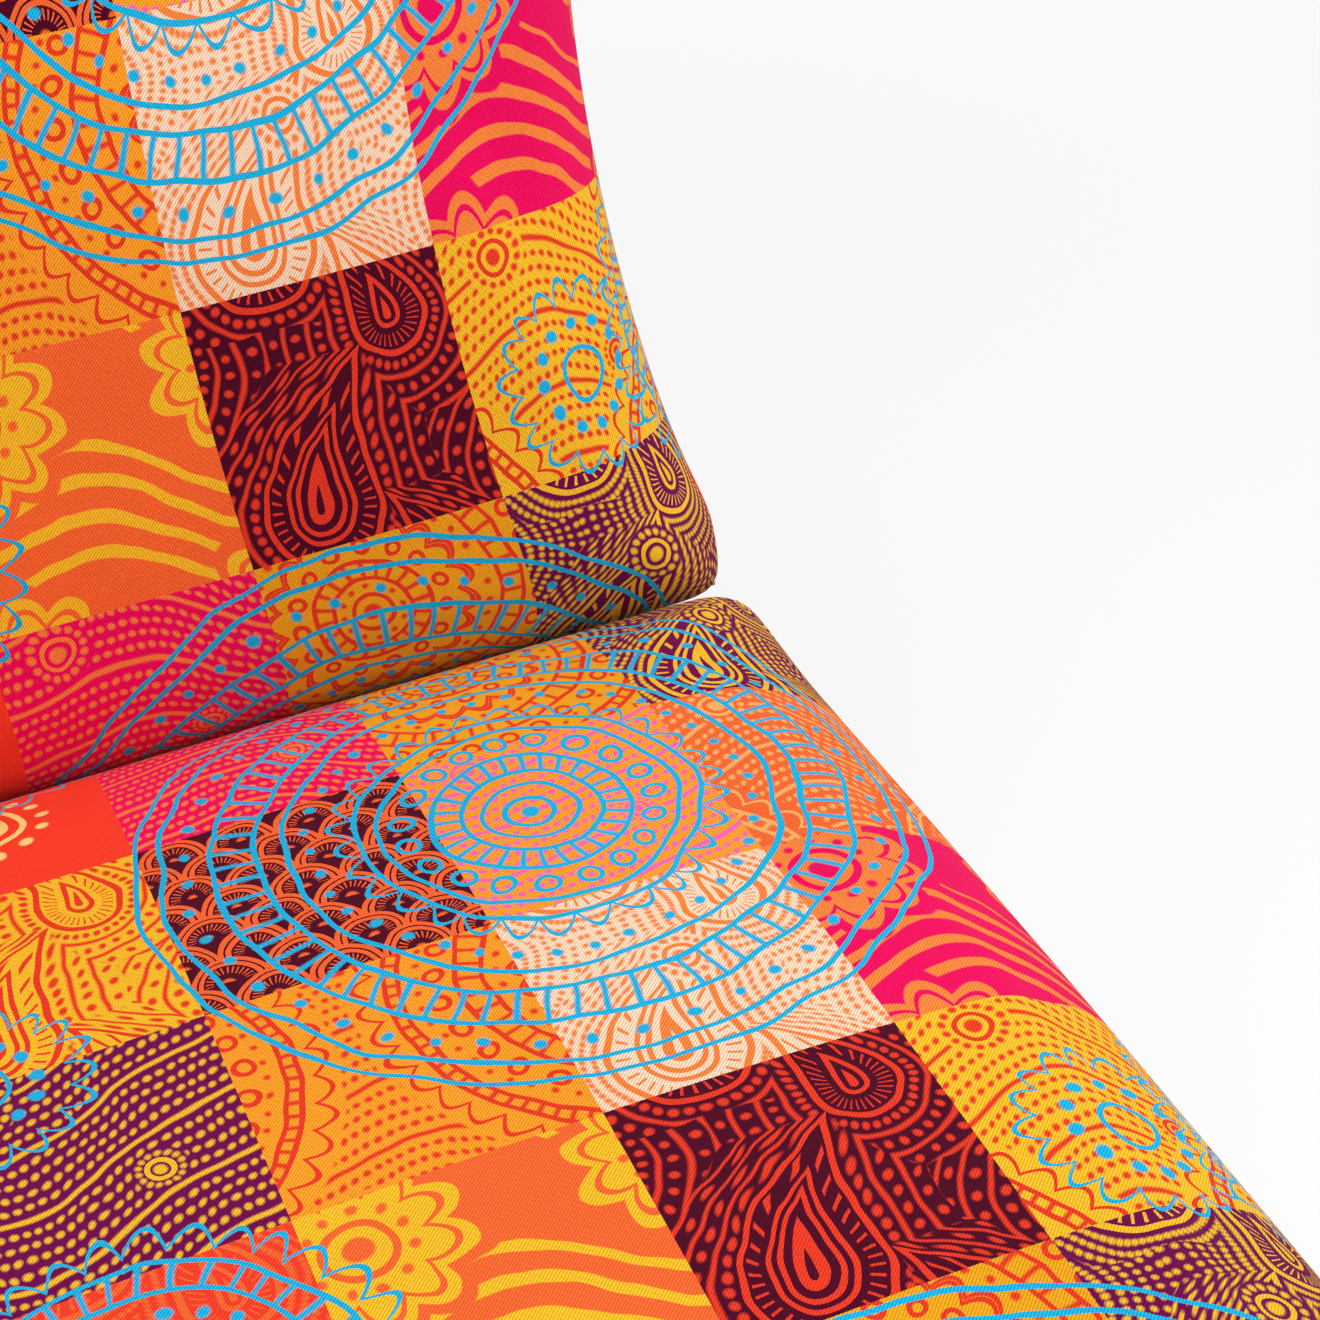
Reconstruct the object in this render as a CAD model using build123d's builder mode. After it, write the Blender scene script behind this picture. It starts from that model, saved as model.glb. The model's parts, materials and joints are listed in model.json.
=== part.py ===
"""Convertible armchair: an armless seat and a back that folds flat on a click hinge.

Millimetres. X is the sitter's right, Y points back, Z is up. The floor is Z = 0 and the
origin lies under the middle of the chair, as it stands with its back up.

The seat and the back are the same kind of thing: a steel frame with bowed slats and a
cushion on top. Each is drawn in its own side plane through the hinge axis, where "along"
is the distance from the axis and "up" is the height towards the cushion's face.
"""

import os
from math import cos, radians, sin

from build123d import *

os.makedirs("parts", exist_ok=True)

# Whole chair
chair_width = 844.0
seat_cushion_length = 600.0
back_cushion_length = 520.0
hinge_height = 340.0
back_lean = 10.0
half_recline = 40.0
recline_stops = 3

# Cushions
cushion_thickness = 130.0
cushion_edge_radius = 60.0
cushion_corner_radius = 32.0
seat_crown = 16.0
back_crown = 13.0
seat_side_draw = 4.0
back_side_draw = 30.0
back_narrowing = 22.0
cover_wall = 3.0
soft_gap = 0.3
crease_gap = 2.3
first_edge_angle = 20.0
crown_start_angle = 8.0
edge_angles = (40.0, 65.0, 90.0)
crown_reach_shares = (0.38, 0.6, 0.8)
tight_corner_share = 0.55

# Square steel tube, shared by both frames and the legs
tube_side = 28.0
tube_wall = 1.5
tube_corner = 3.0
frame_margin = 52.0
frame_end_inset = 40.0
frame_setback = 42.0

# Base under the seat
bearer_drop = 6.0
front_leg_inset = 44.0
rear_leg_reach = 80.0
spacer_length = 40.0
spacer_along_shares = (0.14, 0.82)

# Bowed beech slats in plastic holders
slat_width = 48.0
slat_thickness = 8.0
slat_end_lift = 8.3
slat_end_play = 0.6
holder_wall = 3.0
holder_depth = 20.0
holder_floor = 2.0
slat_play = 0.3
slat_zone_gap = 4.0
slat_side_gap = 2.0

# Hook tape that holds each cushion on its frame
tape_width = 20.0
tape_thickness = 1.5

# Click hinge
arm_thickness = 5.0
arm_reach = 150.0
arm_eye_radius = 18.0
arm_root_share = 1.6
wheel_radius = 17.0
wheel_thickness = 8.0
hinge_layer = 10.0
notch_radius = 3.0
spring_nose_radius = 2.6
spring_strip = 1.5
spring_width = 7.0
spring_root_width = 12.0
spring_root_height = 14.0
spring_root_lift = 1.0
spring_direction = 45.0
spring_elbow_shares = (1.08, 1.15)
spring_root_along = 21.0
hinge_bolt_radius = 6.0
hinge_head_radius = 9.0
hinge_head_height = 5.0
hinge_nut_height = 8.0
bush_wall = 2.0
bush_flange_width = 4.0
bush_flange_thickness = 1.6
running_play = 0.05
side_play = 0.3

# Frame bolts
bolt_radius = 4.0
bolt_head_radius = 6.5
bolt_head_height = 5.0
bolt_grip = 15.0
bolt_overhang = 1.0
bolt_pitch = 48.0
arm_bolt_count = 2
arm_bolt_inset = 22.0

# Fold-out leg that carries the back when it lies flat
leg_gap = 5.0
leg_pivot_margin = 24.0
bracket_thickness = 4.0
bracket_boss = 1.0
bracket_boss_radius = 8.0
bracket_width = 36.0
bracket_bolt_pitch = 20.0
leg_crossbar_side = 20.0
leg_crossbar_share = 0.82
catch_width = 10.0
catch_leg_share = 0.7
catch_reach = 25.0
catch_height = 22.0

# Plastic glides and end plugs
glide_height = 12.0
glide_chamfer = 2.0
spigot_length = 18.0
spigot_play = 0.3
plug_cap = 3.0

# How far a cut runs past the face that it starts from
overrun = 1.0


# Hinge geometry: the two cushions meet in the crease with the named gap
half_opening = radians((90 + back_lean) / 2)
end_centre_up = cushion_thickness / 2 - cushion_edge_radius
end_centre_along = (
    cushion_edge_radius + crease_gap / 2 + end_centre_up * cos(half_opening)
) / sin(half_opening)
cushion_near = end_centre_along - cushion_edge_radius
cushion_floor = -cushion_thickness / 2
back_half_width = chair_width / 2 - back_narrowing

# Frame levels, measured up from the hinge axis
frame_top = cushion_floor - soft_gap - tape_thickness
frame_bottom = frame_top - tube_side
frame_middle = (frame_top + frame_bottom) / 2
seat_far = cushion_near + seat_cushion_length - frame_end_inset
back_far = cushion_near + back_cushion_length - frame_end_inset

# Sideways layers, from the seat rail in to the back rail
seat_frame_half = chair_width / 2 - frame_margin
seat_rail_inner = seat_frame_half - tube_side
seat_arm_inner = seat_rail_inner - arm_thickness
back_rail_inner = seat_arm_inner - hinge_layer
back_arm_inner = back_rail_inner - arm_thickness

# Fold-out leg
leg_pivot_up = frame_bottom - leg_gap - tube_side / 2
leg_pivot_along = back_far - tube_side - leg_pivot_margin
leg_length = hinge_height + leg_pivot_up
bracket_inner = back_rail_inner - bracket_thickness
post_outer = bracket_inner - bracket_boss - side_play
post_inner = post_outer - tube_side
post_middle = (post_outer + post_inner) / 2

# Where the hinge stands, so that the chair's box is centred on the origin
front_reach = cushion_near + seat_cushion_length
rear_reach = (leg_pivot_along + tube_side / 2) * sin(radians(back_lean)) + (
    tube_side / 2 - leg_pivot_up
) * cos(radians(back_lean))
hinge_y = (front_reach - rear_reach) / 2
hinge_point = Vector(0, hinge_y, hinge_height)

# Side planes of the two sections: X runs along the section, Y up to the cushion's face
seat_section = Plane(origin=hinge_point, x_dir=(0, -1, 0), z_dir=(-1, 0, 0))
back_section = Plane(
    origin=hinge_point,
    x_dir=(0, sin(radians(back_lean)), cos(radians(back_lean))),
    z_dir=(1, 0, 0),
)
side_hands = (("left", -1), ("right", 1))


def point_at(section, along, up, x):
    """A point of the chair, from its place in a section."""
    return hinge_point + section.x_dir * along + section.y_dir * up + Vector(x, 0, 0)


def side_plane(section, x):
    """Sketch plane for plates: X along the section, Y up, at one sideways place."""
    return Plane(origin=point_at(section, 0, 0, x), x_dir=section.x_dir, z_dir=section.z_dir)


def end_plane(section, along, up, x, facing=1):
    """Sketch plane square to the section's length, for tubes that run along it."""
    origin = point_at(section, along, up, x)
    return Plane(origin=origin, x_dir=(1, 0, 0), z_dir=section.x_dir * facing)


def face_plane(section, up):
    """Sketch plane parallel to the cushion's face: X across, Y along."""
    return Plane(origin=point_at(section, 0, up, 0), x_dir=section.z_dir, z_dir=section.y_dir)


def slat_plane(section, along):
    """Sketch plane square to the section's length: X across, Y up."""
    origin = point_at(section, along, 0, 0)
    return Plane(origin=origin, x_dir=section.z_dir * -1, z_dir=section.x_dir)


def cross_plane(section, along, up, x):
    """Sketch plane facing right, for tubes and bolts that run across the chair."""
    return Plane(origin=point_at(section, along, up, x), x_dir=section.x_dir, z_dir=(1, 0, 0))


def tube_profile(side):
    """Square tube with rounded corners, drawn in the active sketch."""
    RectangleRounded(side, side, tube_corner)
    inner_side = side - 2 * tube_wall
    RectangleRounded(inner_side, inner_side, tube_corner - tube_wall, mode=Mode.SUBTRACT)


def drill(plane, radius, depth):
    """Cut a round hole down from the plane into the active part."""
    with BuildSketch(plane) as hole:
        Circle(radius)
    extrude(hole.sketch, amount=-depth, mode=Mode.SUBTRACT)


def hex_bolt(plane, head_radius, head_height, shank_radius, shank_length):
    """Hexagon bolt: the head stands on the plane and the shank goes down from it."""
    with BuildSketch(plane) as head:
        RegularPolygon(head_radius, side_count=6)
    extrude(head.sketch, amount=head_height)
    with BuildSketch(plane) as shank:
        Circle(shank_radius)
    extrude(shank.sketch, amount=-shank_length)


def end_plug(plane, cap):
    """Plastic plug: a cap on the tube's end, with a spigot down into the tube."""
    with BuildSketch(plane) as outer:
        RectangleRounded(tube_side, tube_side, tube_corner)
    extrude(outer.sketch, amount=cap)
    spigot_side = tube_side - 2 * tube_wall - 2 * spigot_play
    with BuildSketch(plane) as spigot:
        RectangleRounded(spigot_side, spigot_side, tube_corner - tube_wall)
    extrude(spigot.sketch, amount=-spigot_length)


# Rails of the seat frame and the back frame


def arm_bolt_places():
    """Distances along a section of the two bolts through each hinge arm."""
    return [arm_reach - arm_bolt_inset - index * bolt_pitch for index in range(arm_bolt_count)]


for hand_name, hand in side_hands:
    with BuildPart() as seat_rail:
        rail_middle = hand * (seat_rail_inner + tube_side / 2)
        with BuildSketch(end_plane(seat_section, frame_setback, frame_middle, rail_middle)):
            tube_profile(tube_side)
        extrude(amount=seat_far - frame_setback)
        for along in arm_bolt_places():
            start = cross_plane(seat_section, along, frame_middle, hand * (seat_rail_inner - overrun))
            drill(start if hand < 0 else -start, bolt_radius + running_play, tube_wall + 2 * overrun)
    seat_rail.part.label = f"seat_{hand_name}_rail"
    export_step(seat_rail.part, f"parts/seat_{hand_name}_rail.step")

    with BuildPart() as back_rail:
        rail_middle = hand * (back_rail_inner + tube_side / 2)
        with BuildSketch(end_plane(back_section, frame_setback, frame_middle, rail_middle)):
            tube_profile(tube_side)
        extrude(amount=back_far - frame_setback)
        bolt_places = arm_bolt_places()
        for step in (-1, 1):
            bolt_places.append(leg_pivot_along + step * bracket_bolt_pitch / 2)
        for along in bolt_places:
            start = cross_plane(back_section, along, frame_middle, hand * (back_rail_inner - overrun))
            drill(start if hand < 0 else -start, bolt_radius + running_play, tube_wall + 2 * overrun)
    back_rail.part.label = f"back_{hand_name}_rail"
    export_step(back_rail.part, f"parts/back_{hand_name}_rail.step")

cross_rails = (
    ("seat_front_rail", seat_section, seat_far - tube_side / 2, seat_rail_inner),
    ("seat_rear_rail", seat_section, frame_setback + tube_side / 2, seat_arm_inner),
    ("back_bottom_rail", back_section, frame_setback + tube_side / 2, back_arm_inner),
    ("back_top_rail", back_section, back_far - tube_side / 2, back_rail_inner),
)
for rail_name, section, along, half_span in cross_rails:
    with BuildPart() as cross_rail:
        with BuildSketch(cross_plane(section, along, frame_middle, -half_span)):
            tube_profile(tube_side)
        extrude(amount=2 * half_span)
    cross_rail.part.label = rail_name
    export_step(cross_rail.part, f"parts/{rail_name}.step")


# Base: two bearers under the seat rails, four legs and two crossbars

bearer_middle = seat_rail_inner + tube_side / 2
bearer_up = frame_bottom - bearer_drop - tube_side / 2
bearer_underside = hinge_height + bearer_up - tube_side / 2
front_leg_along = seat_far - front_leg_inset
bearer_front = front_leg_along + tube_side / 2
bearer_rear = -rear_leg_reach - tube_side / 2
spacer_places = [seat_far * share for share in spacer_along_shares]

for hand_name, hand in side_hands:
    with BuildPart() as bearer:
        with BuildSketch(end_plane(seat_section, bearer_rear, bearer_up, hand * bearer_middle)):
            tube_profile(tube_side)
        extrude(amount=bearer_front - bearer_rear)
        for along in spacer_places:
            top = point_at(seat_section, along, bearer_up + tube_side / 2 + overrun, hand * bearer_middle)
            drill(Plane(top), bolt_radius + running_play, tube_side + 2 * overrun)
    bearer.part.label = f"{hand_name}_bearer"
    export_step(bearer.part, f"parts/{hand_name}_bearer.step")

leg_places = (("front", front_leg_along), ("rear", -rear_leg_reach))
for hand_name, hand in side_hands:
    for end_name, along in leg_places:
        with BuildPart() as leg:
            foot = Vector(hand * bearer_middle, hinge_y - along, glide_height)
            with BuildSketch(Plane(foot)):
                tube_profile(tube_side)
            extrude(amount=bearer_underside - glide_height)
        leg.part.label = f"{end_name}_{hand_name}_leg"
        export_step(leg.part, f"parts/{end_name}_{hand_name}_leg.step")

for end_name, along in leg_places:
    with BuildPart() as crossbar:
        with BuildSketch(cross_plane(seat_section, along, bearer_up, -seat_rail_inner)):
            tube_profile(tube_side)
        extrude(amount=2 * seat_rail_inner)
    crossbar.part.label = f"{end_name}_crossbar"
    export_step(crossbar.part, f"parts/{end_name}_crossbar.step")

with BuildPart() as base_glides:
    for _, hand in side_hands:
        for _, along in leg_places:
            foot = Vector(hand * bearer_middle, hinge_y - along, glide_height)
            end_plug(Plane(origin=foot, x_dir=(1, 0, 0), z_dir=(0, 0, -1)), glide_height)
    chamfer(base_glides.edges().group_by(Axis.Z)[0], length=glide_chamfer)
base_glides.part.label = "base_glides"
export_step(base_glides.part, "parts/base_glides.step")

with BuildPart() as spacer_blocks:
    for _, hand in side_hands:
        for along in spacer_places:
            under = Plane(point_at(seat_section, along, frame_bottom, hand * bearer_middle))
            with BuildSketch(under):
                Rectangle(tube_side, spacer_length)
                Circle(bolt_radius + running_play, mode=Mode.SUBTRACT)
            extrude(amount=-bearer_drop)
spacer_blocks.part.label = "spacer_blocks"
export_step(spacer_blocks.part, "parts/spacer_blocks.step")

with BuildPart() as bearer_bolts:
    for _, hand in side_hands:
        for along in spacer_places:
            under = point_at(seat_section, along, bearer_up - tube_side / 2, hand * bearer_middle)
            hex_bolt(
                Plane(origin=under, x_dir=(1, 0, 0), z_dir=(0, 0, -1)),
                bolt_head_radius,
                bolt_head_height,
                bolt_radius,
                tube_side + bearer_drop - side_play,
            )
bearer_bolts.part.label = "bearer_bolts"
export_step(bearer_bolts.part, "parts/bearer_bolts.step")

with BuildPart() as base_end_plugs:
    for _, hand in side_hands:
        for along, facing in ((bearer_front, 1), (bearer_rear, -1)):
            end_plug(
                end_plane(seat_section, along, bearer_up, hand * bearer_middle, facing),
                plug_cap,
            )
        for along, facing in ((seat_far, 1), (frame_setback, -1)):
            end_plug(
                end_plane(seat_section, along, frame_middle, hand * bearer_middle, facing),
                plug_cap,
            )
base_end_plugs.part.label = "base_end_plugs"
export_step(base_end_plugs.part, "parts/base_end_plugs.step")

with BuildPart() as back_end_plugs:
    for _, hand in side_hands:
        rail_middle = hand * (back_rail_inner + tube_side / 2)
        for along, facing in ((back_far, 1), (frame_setback, -1)):
            end_plug(end_plane(back_section, along, frame_middle, rail_middle, facing), plug_cap)
back_end_plugs.part.label = "back_end_plugs"
export_step(back_end_plugs.part, "parts/back_end_plugs.step")


# Bowed slats and their holders

slat_zone_near = arm_reach + slat_zone_gap
holder_width = slat_width + 2 * holder_wall
least_slat_pitch = holder_width + catch_width + 2 * slat_side_gap
slat_underside = frame_bottom + slat_end_lift
slat_rise = frame_top + tape_thickness - slat_thickness - slat_underside
pocket_depth = holder_depth - holder_wall


def slat_places(zone_far):
    """Centres of as many even slats as fit from the hinge arm to the far rail."""
    count = int((zone_far - slat_zone_near) // least_slat_pitch)
    pitch = (zone_far - slat_zone_near) / count
    return [slat_zone_near + (index + 1 / 2) * pitch for index in range(count)]


seat_slats = slat_places(seat_far - tube_side)
back_slats = slat_places(leg_pivot_along - bracket_width / 2)
slat_sets = (
    ("seat", seat_section, seat_slats, seat_rail_inner),
    ("back", back_section, back_slats, back_rail_inner),
)

for set_name, section, places, rail_inner in slat_sets:
    half_slat = rail_inner - holder_wall - slat_end_play
    for index, along in enumerate(places, start=1):
        with BuildPart() as slat:
            with BuildSketch(slat_plane(section, along - slat_width / 2)):
                with BuildLine():
                    low_end = slat_underside
                    high_end = slat_underside + slat_thickness
                    ThreePointArc((-half_slat, low_end), (0, low_end + slat_rise), (half_slat, low_end))
                    Line((half_slat, low_end), (half_slat, high_end))
                    ThreePointArc((half_slat, high_end), (0, high_end + slat_rise), (-half_slat, high_end))
                    Line((-half_slat, high_end), (-half_slat, low_end))
                make_face()
            extrude(amount=slat_width)
        slat.part.label = f"{set_name}_slat_{index}"
        export_step(slat.part, f"parts/{set_name}_slat_{index}.step")

    # The pocket is taller than the slat by the bow's rise over its depth
    pocket_rise = slat_rise * (1 - ((half_slat - pocket_depth) / half_slat) ** 2)
    pocket_height = slat_thickness + pocket_rise + 2 * slat_play
    with BuildPart() as slat_holders:
        for _, hand in side_hands:
            for along in places:
                middle_x = hand * (rail_inner - holder_depth / 2)
                floor_up = slat_underside - slat_play - holder_floor
                with BuildSketch(face_plane(section, floor_up)):
                    with Locations((middle_x * section.z_dir.X, along)):
                        Rectangle(holder_depth, holder_width)
                extrude(amount=pocket_height + 2 * holder_floor)
            for along in places:
                pocket_x = hand * (rail_inner - holder_wall - pocket_depth / 2 - overrun / 2)
                with BuildSketch(face_plane(section, slat_underside - slat_play)):
                    with Locations((pocket_x * section.z_dir.X, along)):
                        Rectangle(pocket_depth + overrun, slat_width + 2 * slat_play)
                extrude(amount=pocket_height, mode=Mode.SUBTRACT)
    slat_holders.part.label = f"{set_name}_slat_holders"
    export_step(slat_holders.part, f"parts/{set_name}_slat_holders.step")


# Hook tapes on the side rails

tape_sets = (
    ("seat_hook_tapes", seat_section, seat_far, seat_rail_inner),
    ("back_hook_tapes", back_section, back_far, back_rail_inner),
)
for tape_name, section, far, rail_inner in tape_sets:
    with BuildPart() as hook_tapes:
        for _, hand in side_hands:
            tape_x = hand * (rail_inner + tube_side / 2) * section.z_dir.X
            tape_length = far - end_centre_along - cushion_edge_radius
            with BuildSketch(face_plane(section, frame_top)):
                with Locations((tape_x, end_centre_along + tape_length / 2)):
                    Rectangle(tape_width, tape_length)
            extrude(amount=tape_thickness)
    hook_tapes.part.label = tape_name
    export_step(hook_tapes.part, f"parts/{tape_name}.step")


# Cushions: a loft of outlines, from the flat underside round the edge to the crown


def cushion_outline(half_width, near, far, corner, draw):
    """Outline of a cushion, seen on its face, with its two long sides drawn in."""
    half_side = (far - near) / 2 - corner
    middle = (near + far) / 2
    centre_reach = (half_side**2 + draw**2) / (2 * draw)
    joint_x = half_width - corner + corner * (centre_reach - draw) / centre_reach
    joint_rise = corner * half_side / centre_reach
    turn = corner * cos(radians(45))
    with BuildLine() as outline:
        for side in (1, -1):
            low, high = (near, far) if side > 0 else (far, near)
            ThreePointArc(
                (side * (half_width - corner), low),
                (side * (half_width - corner + turn), low + side * (corner - turn)),
                (side * joint_x, low + side * (corner + joint_rise)),
            )
            ThreePointArc(
                (side * joint_x, low + side * (corner + joint_rise)),
                (side * (half_width - draw), middle),
                (side * joint_x, high - side * (corner + joint_rise)),
            )
            ThreePointArc(
                (side * joint_x, high - side * (corner + joint_rise)),
                (side * (half_width - corner + turn), high - side * (corner - turn)),
                (side * (half_width - corner), high),
            )
            Line((side * (half_width - corner), high), (-side * (half_width - corner), high))
    make_face(outline.line)


def cushion_levels(length, crown, skin):
    """Pairs of inset and height for a cushion whose skin lies in by the given depth."""
    radius = cushion_edge_radius - skin
    start_height = radius * cos(radians(first_edge_angle))
    top_centre = cushion_thickness - 2 * skin - radius
    levels = [(radius * (1 - sin(radians(first_edge_angle))), 0)]
    for angle in edge_angles:
        turn = radians(angle)
        levels.append((radius * (1 - sin(turn)), start_height - radius * cos(turn)))
    for angle in reversed((crown_start_angle,) + edge_angles):
        turn = radians(angle)
        levels.append((radius * (1 - sin(turn)), top_centre + radius * cos(turn)))
    edge_inset, edge_height = levels[-1]
    for share in crown_reach_shares:
        inset = edge_inset + share * (length / 2 - skin - edge_inset)
        levels.append((inset, edge_height + crown * (1 - (1 - share) ** 2)))
    return levels


def cushion_loft(section, half_width, length, crown, draw, skin, mode):
    """Loft one skin of a cushion into the active part."""
    outlines = []
    full_side = length / 2 - cushion_corner_radius
    for inset, height in cushion_levels(length, crown, skin):
        tightening = min(inset / cushion_edge_radius, 1) * tight_corner_share
        corner = (cushion_corner_radius - skin) * (1 - tightening)
        side_share = (length / 2 - skin - inset - corner) / full_side
        with BuildSketch(face_plane(section, cushion_floor + skin + height)) as outline:
            cushion_outline(
                half_width - skin - inset,
                cushion_near + skin + inset,
                cushion_near + length - skin - inset,
                corner,
                draw * side_share**2,
            )
        outlines.append(outline.sketch)
    loft(outlines, mode=mode)


cushions = (
    ("seat", seat_section, chair_width / 2, seat_cushion_length, seat_crown, seat_side_draw),
    ("back", back_section, back_half_width, back_cushion_length, back_crown, back_side_draw),
)
for cushion_name, section, half_width, length, crown, draw in cushions:
    with BuildPart() as cushion_cover:
        cushion_loft(section, half_width, length, crown, draw, 0, Mode.ADD)
        cushion_loft(section, half_width, length, crown, draw, cover_wall, Mode.SUBTRACT)
    cushion_cover.part.label = f"{cushion_name}_cover"
    export_step(cushion_cover.part, f"parts/{cushion_name}_cover.step")

    with BuildPart() as cushion_foam:
        foam_skin = cover_wall + soft_gap
        cushion_loft(section, half_width, length, crown, draw, foam_skin, Mode.ADD)
    cushion_foam.part.label = f"{cushion_name}_foam"
    export_step(cushion_foam.part, f"parts/{cushion_name}_foam.step")


# Click hinge


def arm_outline():
    """Hinge arm: a foot on the rail and an upright to the pivot eye."""
    root = arm_eye_radius * arm_root_share
    Circle(arm_eye_radius)
    Polygon(
        (arm_eye_radius, 0),
        (root, frame_top),
        (arm_reach, frame_top),
        (arm_reach, frame_bottom),
        (0, frame_bottom),
        (-arm_eye_radius, 0),
        align=None,
    )
    with Locations(*[(along, frame_middle) for along in arm_bolt_places()]):
        Circle(bolt_radius + running_play, mode=Mode.SUBTRACT)


for hand_name, hand in side_hands:
    with BuildPart() as seat_arm:
        with BuildSketch(side_plane(seat_section, hand * (seat_arm_inner + arm_thickness / 2))):
            arm_outline()
            Circle(hinge_bolt_radius + running_play, mode=Mode.SUBTRACT)
        extrude(amount=arm_thickness / 2, both=True)
    seat_arm.part.label = f"{hand_name}_seat_arm"
    export_step(seat_arm.part, f"parts/{hand_name}_seat_arm.step")

    bush_radius = hinge_bolt_radius + running_play + bush_wall
    with BuildPart() as back_arm:
        with BuildSketch(side_plane(back_section, hand * (back_arm_inner + arm_thickness / 2))):
            arm_outline()
            Circle(bush_radius + running_play, mode=Mode.SUBTRACT)
        extrude(amount=arm_thickness / 2, both=True)
    back_arm.part.label = f"{hand_name}_back_arm"
    export_step(back_arm.part, f"parts/{hand_name}_back_arm.step")

    # The notches come to the spring's nose at upright, half way and flat
    first_notch = 90 + back_lean + spring_direction
    with BuildPart() as click_wheel:
        with BuildSketch(side_plane(back_section, hand * (back_rail_inner + wheel_thickness / 2))):
            Circle(wheel_radius)
            Circle(bush_radius + running_play, mode=Mode.SUBTRACT)
            with PolarLocations(
                wheel_radius,
                recline_stops,
                start_angle=first_notch,
                angular_range=(recline_stops - 1) * half_recline,
                endpoint=True,
            ):
                Circle(notch_radius, mode=Mode.SUBTRACT)
        extrude(amount=wheel_thickness / 2, both=True)
    click_wheel.part.label = f"{hand_name}_click_wheel"
    export_step(click_wheel.part, f"parts/{hand_name}_click_wheel.step")

    # The spring is a strip from a root block on the seat arm up to its nose
    nose_along = wheel_radius * cos(radians(spring_direction))
    nose_up = -wheel_radius * sin(radians(spring_direction))
    elbow = (wheel_radius * spring_elbow_shares[0], -wheel_radius * spring_elbow_shares[1])
    root_bottom = frame_bottom + spring_root_lift
    root_top = root_bottom + spring_root_height
    strip_x = back_rail_inner + wheel_thickness / 2
    with BuildPart() as click_spring:
        with BuildSketch(side_plane(seat_section, hand * strip_x)):
            with BuildLine():
                Polyline((spring_root_along, root_bottom), (spring_root_along, root_top), elbow)
                Line(elbow, (nose_along, nose_up))
            trace(line_width=spring_strip)
            with Locations((nose_along, nose_up)):
                Circle(spring_nose_radius)
        extrude(amount=spring_width / 2, both=True)
        root_inner = strip_x - spring_width / 2
        with BuildSketch(side_plane(seat_section, hand * (root_inner + seat_arm_inner) / 2)):
            with Locations((spring_root_along, (root_bottom + root_top) / 2)):
                Rectangle(spring_root_width, spring_root_height)
        extrude(amount=(seat_arm_inner - root_inner) / 2, both=True)
    click_spring.part.label = f"{hand_name}_click_spring"
    export_step(click_spring.part, f"parts/{hand_name}_click_spring.step")

with BuildPart() as hinge_bushes:
    for _, hand in side_hands:
        flange_start = back_rail_inner + wheel_thickness
        outward = Vector(hand, 0, 0)
        sleeve = Plane(origin=hinge_point + outward * back_arm_inner, z_dir=outward)
        with BuildSketch(sleeve):
            Circle(bush_radius)
        extrude(amount=flange_start - back_arm_inner)
        with BuildSketch(sleeve.offset(flange_start - back_arm_inner)):
            Circle(bush_radius + bush_flange_width)
        extrude(amount=bush_flange_thickness)
        drill(
            sleeve.offset(flange_start - back_arm_inner + bush_flange_thickness + overrun),
            hinge_bolt_radius + running_play,
            flange_start - back_arm_inner + bush_flange_thickness + 2 * overrun,
        )
hinge_bushes.part.label = "hinge_bushes"
export_step(hinge_bushes.part, "parts/hinge_bushes.step")

hinge_nut_outer = back_arm_inner - side_play
with BuildPart() as hinge_bolts:
    for _, hand in side_hands:
        head = Plane(origin=hinge_point + Vector(hand * seat_rail_inner, 0, 0), z_dir=(hand, 0, 0))
        shank_length = seat_rail_inner - hinge_nut_outer + hinge_nut_height + bolt_overhang
        hex_bolt(head, hinge_head_radius, hinge_head_height, hinge_bolt_radius, shank_length)
hinge_bolts.part.label = "hinge_bolts"
export_step(hinge_bolts.part, "parts/hinge_bolts.step")

with BuildPart() as hinge_nuts:
    for _, hand in side_hands:
        nut_face = hinge_point + Vector(hand * hinge_nut_outer, 0, 0)
        with BuildSketch(Plane(origin=nut_face, z_dir=(hand, 0, 0))):
            RegularPolygon(hinge_head_radius, side_count=6)
            Circle(hinge_bolt_radius + running_play, mode=Mode.SUBTRACT)
        extrude(amount=-hinge_nut_height)
hinge_nuts.part.label = "hinge_nuts"
export_step(hinge_nuts.part, "parts/hinge_nuts.step")

with BuildPart() as seat_arm_bolts:
    for _, hand in side_hands:
        for along in arm_bolt_places():
            head = point_at(seat_section, along, frame_middle, hand * seat_arm_inner)
            hex_bolt(
                Plane(origin=head, z_dir=(-hand, 0, 0)),
                bolt_head_radius,
                bolt_head_height,
                bolt_radius,
                bolt_grip,
            )
seat_arm_bolts.part.label = "seat_arm_bolts"
export_step(seat_arm_bolts.part, "parts/seat_arm_bolts.step")

with BuildPart() as back_frame_bolts:
    for _, hand in side_hands:
        bolt_seats = [(along, back_arm_inner) for along in arm_bolt_places()]
        for step in (-1, 1):
            bolt_seats.append((leg_pivot_along + step * bracket_bolt_pitch / 2, bracket_inner))
        for along, seat_x in bolt_seats:
            head = point_at(back_section, along, frame_middle, hand * seat_x)
            hex_bolt(
                Plane(origin=head, z_dir=(-hand, 0, 0)),
                bolt_head_radius,
                bolt_head_height,
                bolt_radius,
                bolt_grip,
            )
back_frame_bolts.part.label = "back_frame_bolts"
export_step(back_frame_bolts.part, "parts/back_frame_bolts.step")


# Fold-out leg, drawn where it is stowed, flat against the back frame

leg_foot_along = leg_pivot_along - leg_length
post_start = leg_foot_along + glide_height
post_end = leg_pivot_along + tube_side / 2 - plug_cap

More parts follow.
